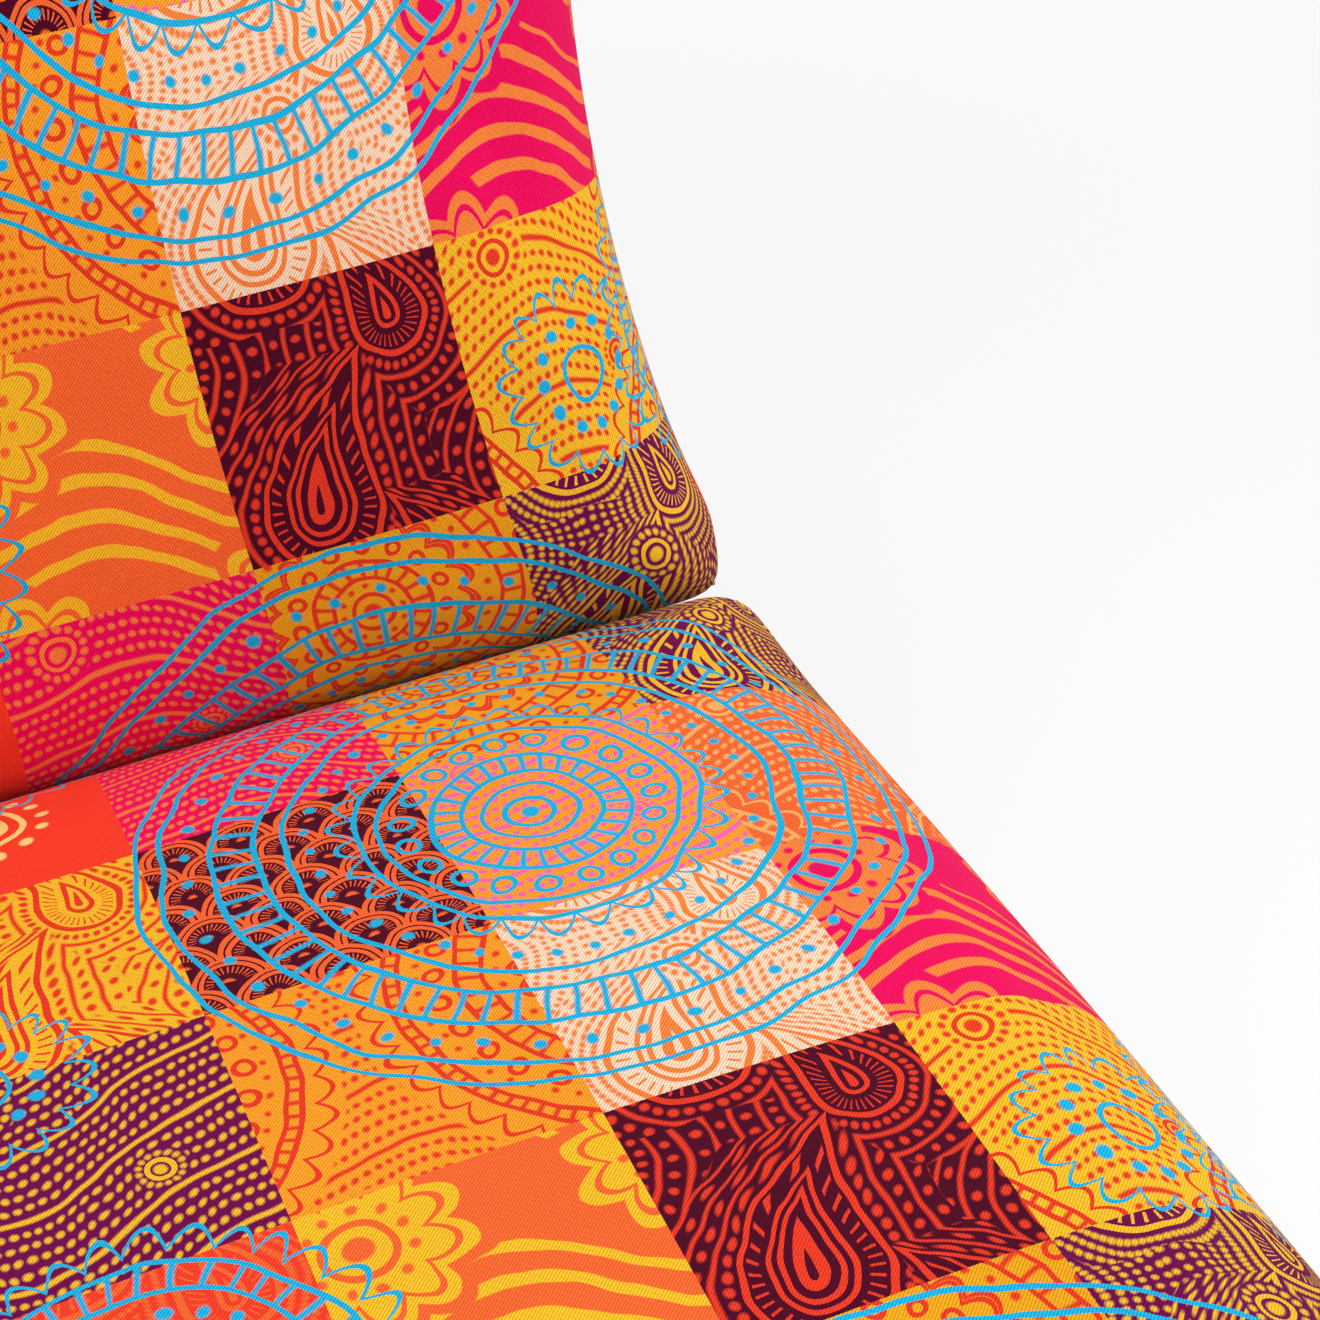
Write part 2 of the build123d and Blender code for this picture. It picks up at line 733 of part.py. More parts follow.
for hand_name, hand in side_hands:
    with BuildPart() as leg_post:
        with BuildSketch(end_plane(back_section, post_start, leg_pivot_up, hand * post_middle)):
            tube_profile(tube_side)
        extrude(amount=post_end - post_start)
        across = cross_plane(back_section, leg_pivot_along, leg_pivot_up, hand * post_middle)
        drill(
            across.offset(tube_side / 2 + overrun),
            bolt_radius + running_play,
            tube_side + 2 * overrun,
        )
    leg_post.part.label = f"bed_leg_{hand_name}_post"
    export_step(leg_post.part, f"parts/bed_leg_{hand_name}_post.step")

with BuildPart() as leg_crossbar:
    crossbar_along = leg_pivot_along - leg_crossbar_share * leg_length
    with BuildSketch(cross_plane(back_section, crossbar_along, leg_pivot_up, -post_inner)):
        tube_profile(leg_crossbar_side)
    extrude(amount=2 * post_inner)
leg_crossbar.part.label = "bed_leg_crossbar"
export_step(leg_crossbar.part, "parts/bed_leg_crossbar.step")

with BuildPart() as bed_leg_glides:
    for _, hand in side_hands:
        end_plug(
            end_plane(back_section, post_start, leg_pivot_up, hand * post_middle, -1),
            glide_height,
        )
bed_leg_glides.part.label = "bed_leg_glides"
export_step(bed_leg_glides.part, "parts/bed_leg_glides.step")

with BuildPart() as bed_leg_plugs:
    for _, hand in side_hands:
        end_plug(
            end_plane(back_section, post_end, leg_pivot_up, hand * post_middle),
            plug_cap,
        )
        # The spigot is bored for the pivot bolt
        across = cross_plane(back_section, leg_pivot_along, leg_pivot_up, hand * post_middle)
        drill(
            across.offset(tube_side / 2 + overrun),
            bolt_radius + running_play,
            tube_side + 2 * overrun,
        )
bed_leg_plugs.part.label = "bed_leg_plugs"
export_step(bed_leg_plugs.part, "parts/bed_leg_plugs.step")

with BuildPart() as leg_brackets:
    for _, hand in side_hands:
        bracket_plane = side_plane(back_section, hand * (bracket_inner + bracket_thickness / 2))
        with BuildSketch(bracket_plane):
            with Locations((leg_pivot_along, frame_middle)):
                Rectangle(bracket_width, tube_side)
            with Locations((leg_pivot_along, (frame_bottom + leg_pivot_up) / 2)):
                Rectangle(tube_side, frame_bottom - leg_pivot_up)
            with Locations((leg_pivot_along, leg_pivot_up)):
                Circle(tube_side / 2)
                Circle(bolt_radius + running_play, mode=Mode.SUBTRACT)
            with Locations((leg_pivot_along, frame_middle)):
                with GridLocations(bracket_bolt_pitch, bracket_bolt_pitch, 2, 1):
                    Circle(bolt_radius + running_play, mode=Mode.SUBTRACT)
        extrude(amount=bracket_thickness / 2, both=True)
        boss_middle = bracket_inner - bracket_boss / 2
        with BuildSketch(side_plane(back_section, hand * boss_middle)):
            with Locations((leg_pivot_along, leg_pivot_up)):
                Circle(bracket_boss_radius)
                Circle(bolt_radius + running_play, mode=Mode.SUBTRACT)
        extrude(amount=bracket_boss / 2, both=True)
leg_brackets.part.label = "bed_leg_brackets"
export_step(leg_brackets.part, "parts/bed_leg_brackets.step")

pivot_nut_outer = post_inner - side_play
with BuildPart() as pivot_bolts:
    for _, hand in side_hands:
        head = point_at(back_section, leg_pivot_along, leg_pivot_up, hand * back_rail_inner)
        hex_bolt(
            Plane(origin=head, z_dir=(hand, 0, 0)),
            bolt_head_radius,
            bolt_head_height,
            bolt_radius,
            back_rail_inner - pivot_nut_outer + hinge_nut_height + bolt_overhang,
        )
pivot_bolts.part.label = "bed_leg_pivot_bolts"
export_step(pivot_bolts.part, "parts/bed_leg_pivot_bolts.step")

with BuildPart() as pivot_nuts:
    for _, hand in side_hands:
        nut_face = point_at(back_section, leg_pivot_along, leg_pivot_up, hand * pivot_nut_outer)
        with BuildSketch(Plane(origin=nut_face, z_dir=(hand, 0, 0))):
            RegularPolygon(bolt_head_radius, side_count=6)
            Circle(bolt_radius + running_play, mode=Mode.SUBTRACT)
        extrude(amount=-hinge_nut_height)
pivot_nuts.part.label = "bed_leg_pivot_nuts"
export_step(pivot_nuts.part, "parts/bed_leg_pivot_nuts.step")

with BuildPart() as leg_catches:
    # Each catch is on the rail between two slat holders, near the folded leg's far end
    catch_aim = leg_pivot_along - catch_leg_share * leg_length
    slat_gaps = [(first + second) / 2 for first, second in zip(back_slats, back_slats[1:])]
    catch_along = min(slat_gaps, key=lambda along: abs(along - catch_aim))
    catch_floor = leg_pivot_up + tube_side / 2 + side_play
    for _, hand in side_hands:
        catch_x = hand * (back_rail_inner - catch_reach / 2) * back_section.z_dir.X
        with BuildSketch(face_plane(back_section, catch_floor)):
            with Locations((catch_x, catch_along)):
                Rectangle(catch_reach, catch_width)
        extrude(amount=catch_height)
leg_catches.part.label = "bed_leg_catches"
export_step(leg_catches.part, "parts/bed_leg_catches.step")

seat_top = hinge_height + cushion_thickness / 2 + seat_crown
flat_length = 2 * cushion_near + seat_cushion_length + back_cushion_length
print(f"seat height at the crown {seat_top:.1f}, flat length {flat_length:.1f}")
print(f"hinge axis at y {hinge_y:.2f}, z {hinge_height:.2f}")
print(f"leg pivot at {point_at(back_section, leg_pivot_along, leg_pivot_up, 0)}")
print(f"crease gap along the chair {2 * cushion_near:.2f} when flat")
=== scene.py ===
# %% [markdown]
# # A padded chair that folds down into a bed
# The frame, the hinges and the hardware come as exact solids, and this lesson dresses them:
# it puts two soft cushions on the frame, prints a patchwork cloth, and finishes steel, wood,
# plastic and tape. Everything is in metres, in the frame of the solids, so a piece goes where
# the solids say and is never fitted by eye.

# %% Load the solids
import json
import math
from functools import reduce

import bmesh
import bpy
from mathutils import Matrix, Vector


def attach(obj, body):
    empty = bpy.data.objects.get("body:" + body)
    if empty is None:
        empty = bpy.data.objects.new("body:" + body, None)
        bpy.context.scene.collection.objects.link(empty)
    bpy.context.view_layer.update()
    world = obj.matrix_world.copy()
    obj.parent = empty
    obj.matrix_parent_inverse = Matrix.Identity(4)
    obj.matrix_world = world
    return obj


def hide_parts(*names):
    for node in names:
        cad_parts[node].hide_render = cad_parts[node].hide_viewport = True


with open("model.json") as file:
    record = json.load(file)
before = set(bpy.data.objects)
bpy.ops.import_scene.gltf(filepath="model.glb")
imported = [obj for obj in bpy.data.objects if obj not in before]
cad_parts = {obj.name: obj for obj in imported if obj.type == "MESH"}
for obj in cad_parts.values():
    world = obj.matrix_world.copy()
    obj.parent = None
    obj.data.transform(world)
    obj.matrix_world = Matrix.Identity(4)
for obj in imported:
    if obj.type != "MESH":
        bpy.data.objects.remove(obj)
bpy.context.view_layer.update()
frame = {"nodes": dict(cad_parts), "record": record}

solids = frame["nodes"]

# %% [markdown]
# ## Camera
# The camera's place was worked out from the corners of the printed squares, which lie on two
# flat faces of known size. It stands in front of the chair, looks down by 35 degrees and to the
# right by 20, and is tipped a little, as a hand-held camera is. Its three axes are written out,
# because a tipped camera is hard to read as three turns.

# %% Place the camera
camera_lens = 72.16
camera_place = Vector((0.00075, -0.8109, 1.0894))
camera_right = Vector((0.91854, -0.38842, -0.07358))
camera_up = Vector((0.27986, 0.50743, 0.81498))
camera_data = bpy.data.cameras.new("camera")
camera_data.lens = camera_lens
camera = bpy.data.objects.new("camera", camera_data)
camera_axes = Matrix((camera_right, camera_up, camera_right.cross(camera_up))).transposed()
camera.matrix_world = Matrix.Translation(camera_place) @ camera_axes.to_4x4()
bpy.context.scene.collection.objects.link(camera)
bpy.context.scene.camera = camera
print("camera looks along", [round(value, 3) for value in -camera_axes.col[2]])

# %% [markdown]
# ## Wiring a material with sums
# A procedural pattern is arithmetic, and a page of node links hides it. This small class wraps
# a node's output, so that `a + b` or `a.fract()` adds the Math node and its links, and a pattern
# reads as the formula that it is. The nodes that it leaves are plain Math nodes.

# %% A wire that does arithmetic
edge_softness = 0.01


def feed(tree, socket, value):
    """Link a wire or a node's output to a socket, or set a plain number or colour on it."""
    value = value.socket if isinstance(value, Wire) else value
    if isinstance(value, bpy.types.NodeSocket):
        tree.links.new(value, socket)
    else:
        socket.default_value = value


def feed_all(tree, node, **inputs):
    """Feed a node's inputs by name, with _ for a space."""
    for name, value in inputs.items():
        feed(tree, node.inputs[name.replace("_", " ")], value)
    return node


def add_node(tree, kind, settings=(), **inputs):
    """Add a node, set its properties and feed its inputs."""
    node = tree.nodes.new(kind)
    for name, value in dict(settings).items():
        setattr(node, name, value)
    return feed_all(tree, node, **inputs)


class Wire:
    """The output of a node, as a term in a sum."""

    def __init__(self, tree, socket):
        self.tree, self.socket = tree, socket

    def math(self, operation, *others, clamp=False):
        node = self.tree.nodes.new("ShaderNodeMath")
        node.operation, node.use_clamp = operation, clamp
        for socket, value in zip(node.inputs, (self, *others)):
            feed(self.tree, socket, value)
        return Wire(self.tree, node.outputs[0])

    def __add__(self, other):
        return self.math("ADD", other)

    def __sub__(self, other):
        return self.math("SUBTRACT", other)

    def __mul__(self, other):
        return self.math("MULTIPLY", other)

    def __truediv__(self, other):
        return self.math("DIVIDE", other)

    def wave(self):
        """Sine of a number of whole turns."""
        return (self * math.tau).math("SINE")

    def floor(self):
        return self.math("FLOOR")

    def fract(self):
        return self.math("FRACT")

    def size(self):
        return self.math("ABSOLUTE")

    def repeat(self):
        """Distance from the nearest whole number, from 0 to 0.5."""
        return self.math("PINGPONG", 0.5)

    def either(self, other):
        return self.math("MAXIMUM", other)

    def below(self, limit, soft=edge_softness):
        """1 where the value is under a fixed limit, with a soft edge."""
        return self.math("MULTIPLY_ADD", -1 / soft, limit / soft + 0.5, clamp=True)

    def above(self, limit, soft=edge_softness):
        return self.math("MULTIPLY_ADD", 1 / soft, 0.5 - limit / soft, clamp=True)

    def line(self, centre, half_width):
        """1 within half_width of centre, which may be a wire."""
        return self.math("COMPARE", centre, half_width)


def distance(a, b):
    """Length of the long side of a right angle with the sides a and b."""
    return (a * a + b * b).math("SQRT")


def merged(inks):
    """One mask that holds every ink."""
    return reduce(Wire.either, inks)


print("wires ready")

# %% [markdown]
# ## Shared effects
# Woven cloth, speckled steel and moulded plastic all need the same few things: a fine bump, an
# uneven tone, and rubbed edges. Each is a node group with named inputs, built once and placed
# in every material with that material's own numbers, so a change to the group reaches them all.

# %% Helpers for groups and materials


def linear(red, green, blue):
    """Colour as seen on a screen, 0 to 255, turned into the shader's own scale."""
    shares = [value / 255 for value in (red, green, blue)]
    return [s / 12.92 if s <= 0.04045 else ((s + 0.055) / 1.055) ** 2.4 for s in shares] + [1]


def new_group(name, inputs, outputs):
    """Node group with inputs of name and default, and outputs of name and kind."""
    tree = bpy.data.node_groups.new(name, "ShaderNodeTree")
    for socket_name, default in inputs.items():
        kind = "NodeSocketVector" if isinstance(default, tuple) else "NodeSocketFloat"
        socket = tree.interface.new_socket(socket_name, in_out="INPUT", socket_type=kind)
        socket.default_value = default
    for socket_name, kind in outputs.items():
        tree.interface.new_socket(socket_name, in_out="OUTPUT", socket_type=f"NodeSocket{kind}")
    source = tree.nodes.new("NodeGroupInput")
    wires = [Wire(tree, source.outputs[socket_name]) for socket_name in inputs]
    return tree, wires, tree.nodes.new("NodeGroupOutput")


def place_group(tree, group, **inputs):
    """Put a node group into a material and feed its inputs."""
    node = add_node(tree, "ShaderNodeGroup", {"node_tree": group}, **inputs)
    return {socket.name: Wire(tree, socket) for socket in node.outputs}


def new_material(name, **shader_values):
    """Material with a Principled shader; constant values are set on the shader's own sockets."""
    material = bpy.data.materials.new(name)
    material.use_nodes = True
    tree = material.node_tree
    return material, tree, feed_all(tree, tree.nodes["Principled BSDF"], **shader_values)


def object_place(tree):
    """Position on the object, in metres."""
    return Wire(tree, tree.nodes.new("ShaderNodeTexCoord").outputs["Object"])


def mixed(tree, share, first, second):
    """Colour between two colours."""
    node = tree.nodes.new("ShaderNodeMix")
    node.data_type = "RGBA"
    for socket, value in zip((0, 6, 7), (share, first, second)):
        feed(tree, node.inputs[socket], value)
    return Wire(tree, node.outputs[2])


def bumped(tree, height, depth, strength=1.0, over=None):
    """Normal raised by a height wire, with the relief's depth in metres, over another normal."""
    node = add_node(tree, "ShaderNodeBump", Height=height, Distance=depth, Strength=strength)
    if over is not None:
        feed(tree, node.inputs["Normal"], over)
    return Wire(tree, node.outputs["Normal"])


def shaken(tree, x, y, scale, most):
    """How far a soft noise pushes a place about, as an unsteady hand does."""
    flat = add_node(tree, "ShaderNodeCombineXYZ", X=x, Y=y).outputs[0]
    hand = add_node(tree, "ShaderNodeTexNoise", Vector=flat, Scale=scale, Detail=1.0)
    parts = add_node(tree, "ShaderNodeSeparateColor", Color=hand.outputs["Color"])
    return [(Wire(tree, part) - 0.5) * most for part in parts.outputs[:2]]


# %% The shared groups
uneven_tone, (place, scale, low, high), out = new_group(
    "uneven tone", {"Place": (0, 0, 0), "Scale": 30, "Low": 0.9, "High": 1.1}, {"Tone": "Float"}
)
clouds = add_node(uneven_tone, "ShaderNodeTexNoise", Vector=place, Scale=scale, Detail=4.0)
span = add_node(
    uneven_tone, "ShaderNodeMapRange",
    Value=clouds.outputs["Fac"], From_Min=0.3, From_Max=0.7, To_Min=low, To_Max=high,
)
feed_all(uneven_tone, out, Tone=span.outputs["Result"])

fine_grain, (place, scale), out = new_group(
    "fine grain", {"Place": (0, 0, 0), "Scale": 900}, {"Height": "Float"}
)
pebbles = add_node(fine_grain, "ShaderNodeTexVoronoi", Vector=place, Scale=scale)
clouds = add_node(fine_grain, "ShaderNodeTexNoise", Vector=place, Scale=scale, Detail=3.0)
grain = Wire(fine_grain, pebbles.outputs["Distance"]) * 0.6 + clouds.outputs["Fac"]
feed_all(fine_grain, out, Height=grain)

rubbed_edge, (place, radius, amount), out = new_group(
    "rubbed edge", {"Place": (0, 0, 0), "Radius": 0.0012, "Amount": 0.5},
    {"Rubbed": "Float", "Normal": "Vector"},
)
rounding = add_node(rubbed_edge, "ShaderNodeBevel", {"samples": 4}, Radius=radius)
facing = add_node(rubbed_edge, "ShaderNodeNewGeometry")
turned = add_node(rubbed_edge, "ShaderNodeVectorMath", {"operation": "DOT_PRODUCT"})
feed(rubbed_edge, turned.inputs[0], rounding.outputs["Normal"])
feed(rubbed_edge, turned.inputs[1], facing.outputs["True Normal"])
patches = add_node(rubbed_edge, "ShaderNodeTexNoise", Vector=place, Scale=70.0, Detail=5.0)
worn = Wire(rubbed_edge, turned.outputs["Value"]).below(0.97, soft=0.06)
worn = worn * Wire(rubbed_edge, patches.outputs["Fac"]).above(0.52, soft=0.12) * amount
feed_all(rubbed_edge, out, Rubbed=worn, Normal=rounding.outputs["Normal"])
print("groups:", [group.name for group in bpy.data.node_groups])

# %% [markdown]
# ## The weave
# The cover is a printed cotton in a fine twill: each yarn passes over two and under one, and
# the steps line up as slanting ribs about a millimetre and a half apart. A photograph of cloth
# would repeat and can't be scaled, so the ribs and yarns are worked out from the cloth's own
# length and width, which are stored in the UV map in metres.

# %% Twill weave group
twill_weave, (across, along, pitch), out = new_group(
    "twill weave", {"Across": 0, "Along": 0, "Pitch": 0.0016}, {"Height": "Float"}
)
ribs = ((across - along) / pitch).wave() * 0.5 + 0.5
yarns = ((across + along) / pitch * 1.5).wave() * 0.25
threads = (across / pitch * 2.0).wave() * (along / pitch * 2.0).wave() * 0.2
feed_all(twill_weave, out, Height=ribs + yarns + threads)
print("weave ready")

# %% [markdown]
# ## The printed patchwork
# The cloth is printed as squares of 114 mm in hot colours, and every square shows a piece of a
# larger line drawing: round medallions, rows of dots along waves, teardrops, fish scales, suns
# and blossoms, all of them old and common textile motifs. Here each drawing is a layer that runs
# over the whole cloth, and a table says which layer and which inks each square shows, so the
# square's edge cuts the drawing as a patchwork does.

# %% Parts of a round medallion
square = 0.1143
repeat_squares = 4


def round_place(x, y):
    """Radius and turn, from 0 to 1, of a place."""
    return distance(x, y), y.math("ARCTAN2", x) / math.tau + 0.5


def around(turn, ring_radius, count):
    """Distance along a ring to the nearest of count evenly spaced spokes."""
    return (turn * count).repeat() * (math.tau * ring_radius / count)


def ladder(radius, turn, inner, outer, count, width):
    """Band with rungs and two rails."""
    middle = (inner + outer) / 2
    rungs = around(turn, middle, count).below(width) * radius.line(middle, (outer - inner) / 2)
    return merged((rungs, radius.line(inner, width), radius.line(outer, width)))


def beads(radius, turn, ring_radius, count, bead, hollow=0.0):
    """Ring of dots, or of small rings where hollow is their line width."""
    away = distance(around(turn, ring_radius, count), radius - ring_radius)
    return away.line(bead, hollow) if hollow else away.below(bead)


def scallops(radius, turn, ring_radius, count, depth, width):
    """Ring of small arches."""
    arch = (turn * (count / 2)).wave().size() * depth + ring_radius
    return radius.line(arch, width)


def round_drawing(radius, turn, dot=None, rings=(), ladders=(), bead_rings=(), arches=()):
    """A middle dot, and rings, ladders, beads and arches round it, from rows of numbers."""
    inks = [radius.below(dot)] if dot else []
    inks += [radius.line(*values) for values in rings]
    for part, rows in ((ladder, ladders), (beads, bead_rings), (scallops, arches)):
        inks += [part(radius, turn, *values) for values in rows]
    return merged(inks)


# %% Small parts of the drawings
line_width = 0.009


def mask_between(share, first, second):
    """First value where share is 0, second where it is 1."""
    return first + (second - first) * share


def rosette(x, y, size):
    """A dot, a ring and a round of beads, and the mask of the room that it clears."""
    radius, turn = round_place(x, y)
    ink = round_drawing(
        radius, turn, dot=0.24 * size, rings=((0.46 * size, line_width),),
        bead_rings=((0.76 * size, 15, 0.11 * size),),
    )
    return ink, radius.above(size)


def drop_field(x, y, size):
    """Distance outside a teardrop, about its round foot, and the turn round that foot."""
    foot_radius = 0.28 * size
    rise = y / size + 0.2
    tip = rise.math("MAXIMUM", 0.0) / 0.7
    aside = x - tip * tip * (0.36 * size)
    foot = rise.math("MINIMUM", 0.0) * size
    outside = distance(aside, foot) + tip.math("POWER", 1.6) * foot_radius - foot_radius
    return outside, (rise * size).math("ARCTAN2", aside) / math.tau


# %% The drawing layers
layer_names = ("medallion", "waves", "teardrops", "stippled", "scales", "sun", "blossoms")
print_layers, (x, y), out = new_group(
    "print layers", {"X": 0, "Y": 0}, dict.fromkeys(layer_names, "Float")
)
drawings = {}

# Waves: rows of dots along a slow swell, every fifth one a drawn line, with rosettes between
wave_rows = 18.0
row_beads = 25.0
swell = (y + (x * 0.5 + 0.1).wave() * 0.16 + (x * 1.1).wave() * 0.04) * wave_rows
row_gap = swell.repeat() / wave_rows
bead_gap = (x * row_beads + (swell + 0.5).floor() * 0.5).repeat() / row_beads
drawn_row = (swell / 5.0).repeat().below(0.1)
dotted_row = distance(row_gap, bead_gap).below(0.013)
waves = mask_between(drawn_row, dotted_row, row_gap.below(line_width * 1.2))
for move_x, move_y, size in ((0.27, 0.61, 0.13), (0.8, 0.12, 0.09)):
    flower, clear = rosette((x + move_x).fract() - 0.5, (y + move_y).fract() - 0.5, size)
    waves = (waves * clear).either(flower)
drawings["waves"] = waves

# Medallions, one in every block of two squares by two, off the squares' own centres
local_x = ((x + 0.62) * 0.5).fract() * 2 - 1.0
local_y = ((y + 0.31) * 0.5).fract() * 2 - 1.0
radius, turn = round_place(local_x, local_y)
medallion = round_drawing(
    radius, turn, dot=0.035, rings=((0.075, line_width),),
    ladders=[
        (*band, line_width) for band in ((0.15, 0.225, 20), (0.5, 0.59, 46), (0.78, 0.83, 92))
    ],
    bead_rings=(
        (0.115, 12, 0.012), (0.285, 15, 0.026, line_width), (0.45, 34, 0.014),
        (0.66, 30, 0.03, line_width), (0.72, 60, 0.012),
    ),
    arches=[(*arch, line_width) for arch in ((0.34, 20, 0.05), (0.36, 20, 0.05), (0.87, 44, 0.06))],
)
drawings["medallion"] = medallion.either(waves * radius.above(0.96))

# Teardrops: two in a square, each with a drawn inside, and lines that follow them outside
near, near_turn = drop_field((x + 0.2).fract() - 0.52, (y + 0.15).fract() - 0.46, 0.8)
other, other_turn = drop_field(((x + 0.74).fract() - 0.5) * -1.0, (y + 0.6).fract() - 0.5, 0.5)
outside = near.math("MINIMUM", other)
turn = mask_between((near - other).above(0.0), near_turn, other_turn)
inner_rays = (turn * 30).repeat().below(0.13, 0.05) * outside.line(-0.045, 0.022)
inner_lines = ((0.0, line_width * 1.3), (-0.1, line_width), (-0.135, line_width), (-0.19, 0.018))
inside = merged([inner_rays] + [outside.line(*values) for values in inner_lines])


def following(lines, dots):
    """Gap to the nearest line that follows a teardrop, and along it to the nearest dot."""
    gap = (outside * lines).repeat() / lines
    return gap, (turn * dots).repeat() * (outside + 0.2) * (math.tau / dots)


follow_lines = 11.0
follow, bead_gap = following(follow_lines, 34)
between_lines = distance(follow * -1.0 + 0.5 / follow_lines, bead_gap).below(0.016)
followed = follow.below(line_width).either(between_lines)
drawings["teardrops"] = inside.either(followed * outside.above(0.02))

# The same teardrops, stippled: every line outside them is a row of small dots
follow, bead_gap = following(23.0, 72)
stippled = inside.either(distance(follow, bead_gap).below(0.0115) * outside.above(0.03))
flower, clear = rosette((x + 0.99).fract() - 0.5, (y + 0.93).fract() - 0.5, 0.12)
drawings["stippled"] = (stippled * clear).either(flower)

# Fish scales: rows of arches, every second row moved by half an arch
scale_pitch = 1 / 4
fish_scales = []
for shift in (0.0, 0.5):
    scale_x = (x / scale_pitch + shift).repeat() * scale_pitch
    scale_y = (y / scale_pitch + shift).fract() * scale_pitch
    reach = distance(scale_x, scale_y)
    spokes = (scale_y.math("ARCTAN2", scale_x) * 4.2).repeat().below(0.16, 0.06)
    fish_scales += [
        reach.line(0.48 * scale_pitch, line_width), reach.line(0.38 * scale_pitch, line_width),
        spokes * reach.line(0.25 * scale_pitch, 0.016), reach.below(0.018),
    ]
drawings["scales"] = merged(fish_scales)

# Sun: two rings and a round of dots, in the middle of its square
radius, turn = round_place(x.fract() - 0.5, y.fract() - 0.5)
drawings["sun"] = round_drawing(
    radius, turn, dot=0.045, rings=((0.11, 0.018), (0.18, 0.014)), bead_rings=((0.26, 14, 0.024),)
)

# Blossoms: filled flowers with a drawn middle
radius, turn = round_place((x + 0.35).fract() - 0.5, (y + 0.7).fract() - 0.5)
petals = radius - ((turn * 5.0).wave().size() * 0.08 + 0.27)
cut = petals.line(-0.06, 0.012).either(radius.line(0.11, 0.014))
cut = cut.either(beads(radius, turn, 0.165, 11, 0.018))
blossom = petals.below(0.0, 0.006) * (cut * -1.0 + 1.0) * radius.above(0.05)
ribbons = (swell / 2.4).repeat().below(0.18, 0.03) * petals.above(0.06)
drawings["blossoms"] = blossom.either(ribbons * (swell / wave_rows).wave().above(-0.2, 0.02))
feed_all(print_layers, out, **drawings)
print("layers:", layer_names)

# %% [markdown]
# ## Colours of the squares
# Sixteen squares make one repeat of the print, four by four. A Color Ramp set to constant steps
# is a table that a shader can read: the square's number goes in, its ground colour, its ink or
# the number of its drawing comes out.

# %% Table of squares
inks = {
    "red": (250, 62, 38), "coral": (252, 104, 48), "orange": (255, 158, 38),
    "mustard": (240, 165, 25), "yellow": (250, 190, 40), "cream": (251, 216, 186),
    "magenta": (240, 0, 92), "pink": (255, 104, 176), "burgundy": (76, 0, 32),
    "purple": (112, 0, 76), "apricot": (252, 178, 100), "lemon": (255, 222, 130),
    "scarlet": (232, 58, 34), "tangerine": (252, 132, 60), "teal": (24, 180, 228),
}
squares = (
    ("purple", "yellow", "waves"), ("orange", "scarlet", "medallion"),
    ("cream", "tangerine", "stippled"), ("magenta", "tangerine", "blossoms"),
    ("yellow", "scarlet", "teardrops"), ("burgundy", "coral", "scales"),
    ("orange", "pink", "waves"), ("coral", "apricot", "medallion"),
    ("red", "lemon", "sun"), ("magenta", "tangerine", "waves"),
    ("mustard", "scarlet", "medallion"), ("purple", "yellow", "stippled"),
    ("red", "coral", "stippled"), ("coral", "yellow", "blossoms"),
    ("burgundy", "scarlet", "teardrops"), ("yellow", "scarlet", "medallion"),
)


def drawing_number(name):
    """Number that stands for a drawing in the table."""
    return (layer_names.index(name) + 1) / 10


def square_table(tree, number, values):
    """Constant Color Ramp that gives one value for each square of the repeat."""
    node = add_node(tree, "ShaderNodeValToRGB", Fac=number)
    ramp = node.color_ramp
    ramp.interpolation = "CONSTANT"
    for place in range(1, len(values) - 1):
        ramp.elements.new(place / len(values))
    for place, value in enumerate(values):
        ramp.elements[place].position = place / len(values)
        ramp.elements[place].color = value
    return Wire(tree, node.outputs["Color"])


print("squares in a repeat:", len(squares))

# %% Patchwork fabric
patchwork, tree, shader = new_material(
    "patchwork_fabric",
    Roughness=0.9, Sheen_Weight=0.02, Sheen_Roughness=0.5, Specular_IOR_Level=0.08,
)
uv = add_node(tree, "ShaderNodeTexCoord").outputs["UV"]
flat = add_node(tree, "ShaderNodeSeparateXYZ", Vector=uv)
across, along = Wire(tree, flat.outputs["X"]), Wire(tree, flat.outputs["Y"])
x, y = across / square, along / square
column, row = (
    ((value * (1 / repeat_squares)).fract() * repeat_squares).floor() for value in (x, y)
)
number = (column + row * repeat_squares + 0.5) / len(squares)
push_x, push_y = shaken(tree, x, y, 5.0, 0.05)
layers = place_group(tree, print_layers, X=x + push_x, Y=y + push_y)
ground = square_table(tree, number, [linear(*inks[g]) for g, _, _ in squares])
line_ink = square_table(tree, number, [linear(*inks[i]) for _, i, _ in squares])
drawing = square_table(tree, number, [[drawing_number(d)] * 3 + [1] for _, _, d in squares])
drawn = merged([drawing.line(drawing_number(name), 0.04) * layers[name] for name in layer_names])
colour = mixed(tree, drawn, ground, line_ink)
print("patchwork squares wired")

# %% [markdown]
# ## Blue rings over the squares
# The last printing screen lays thin turquoise rings over several squares at once, so they don't
# follow the squares. They look drawn by hand because their place is pushed about a little by a
# soft noise before the rings are worked out.

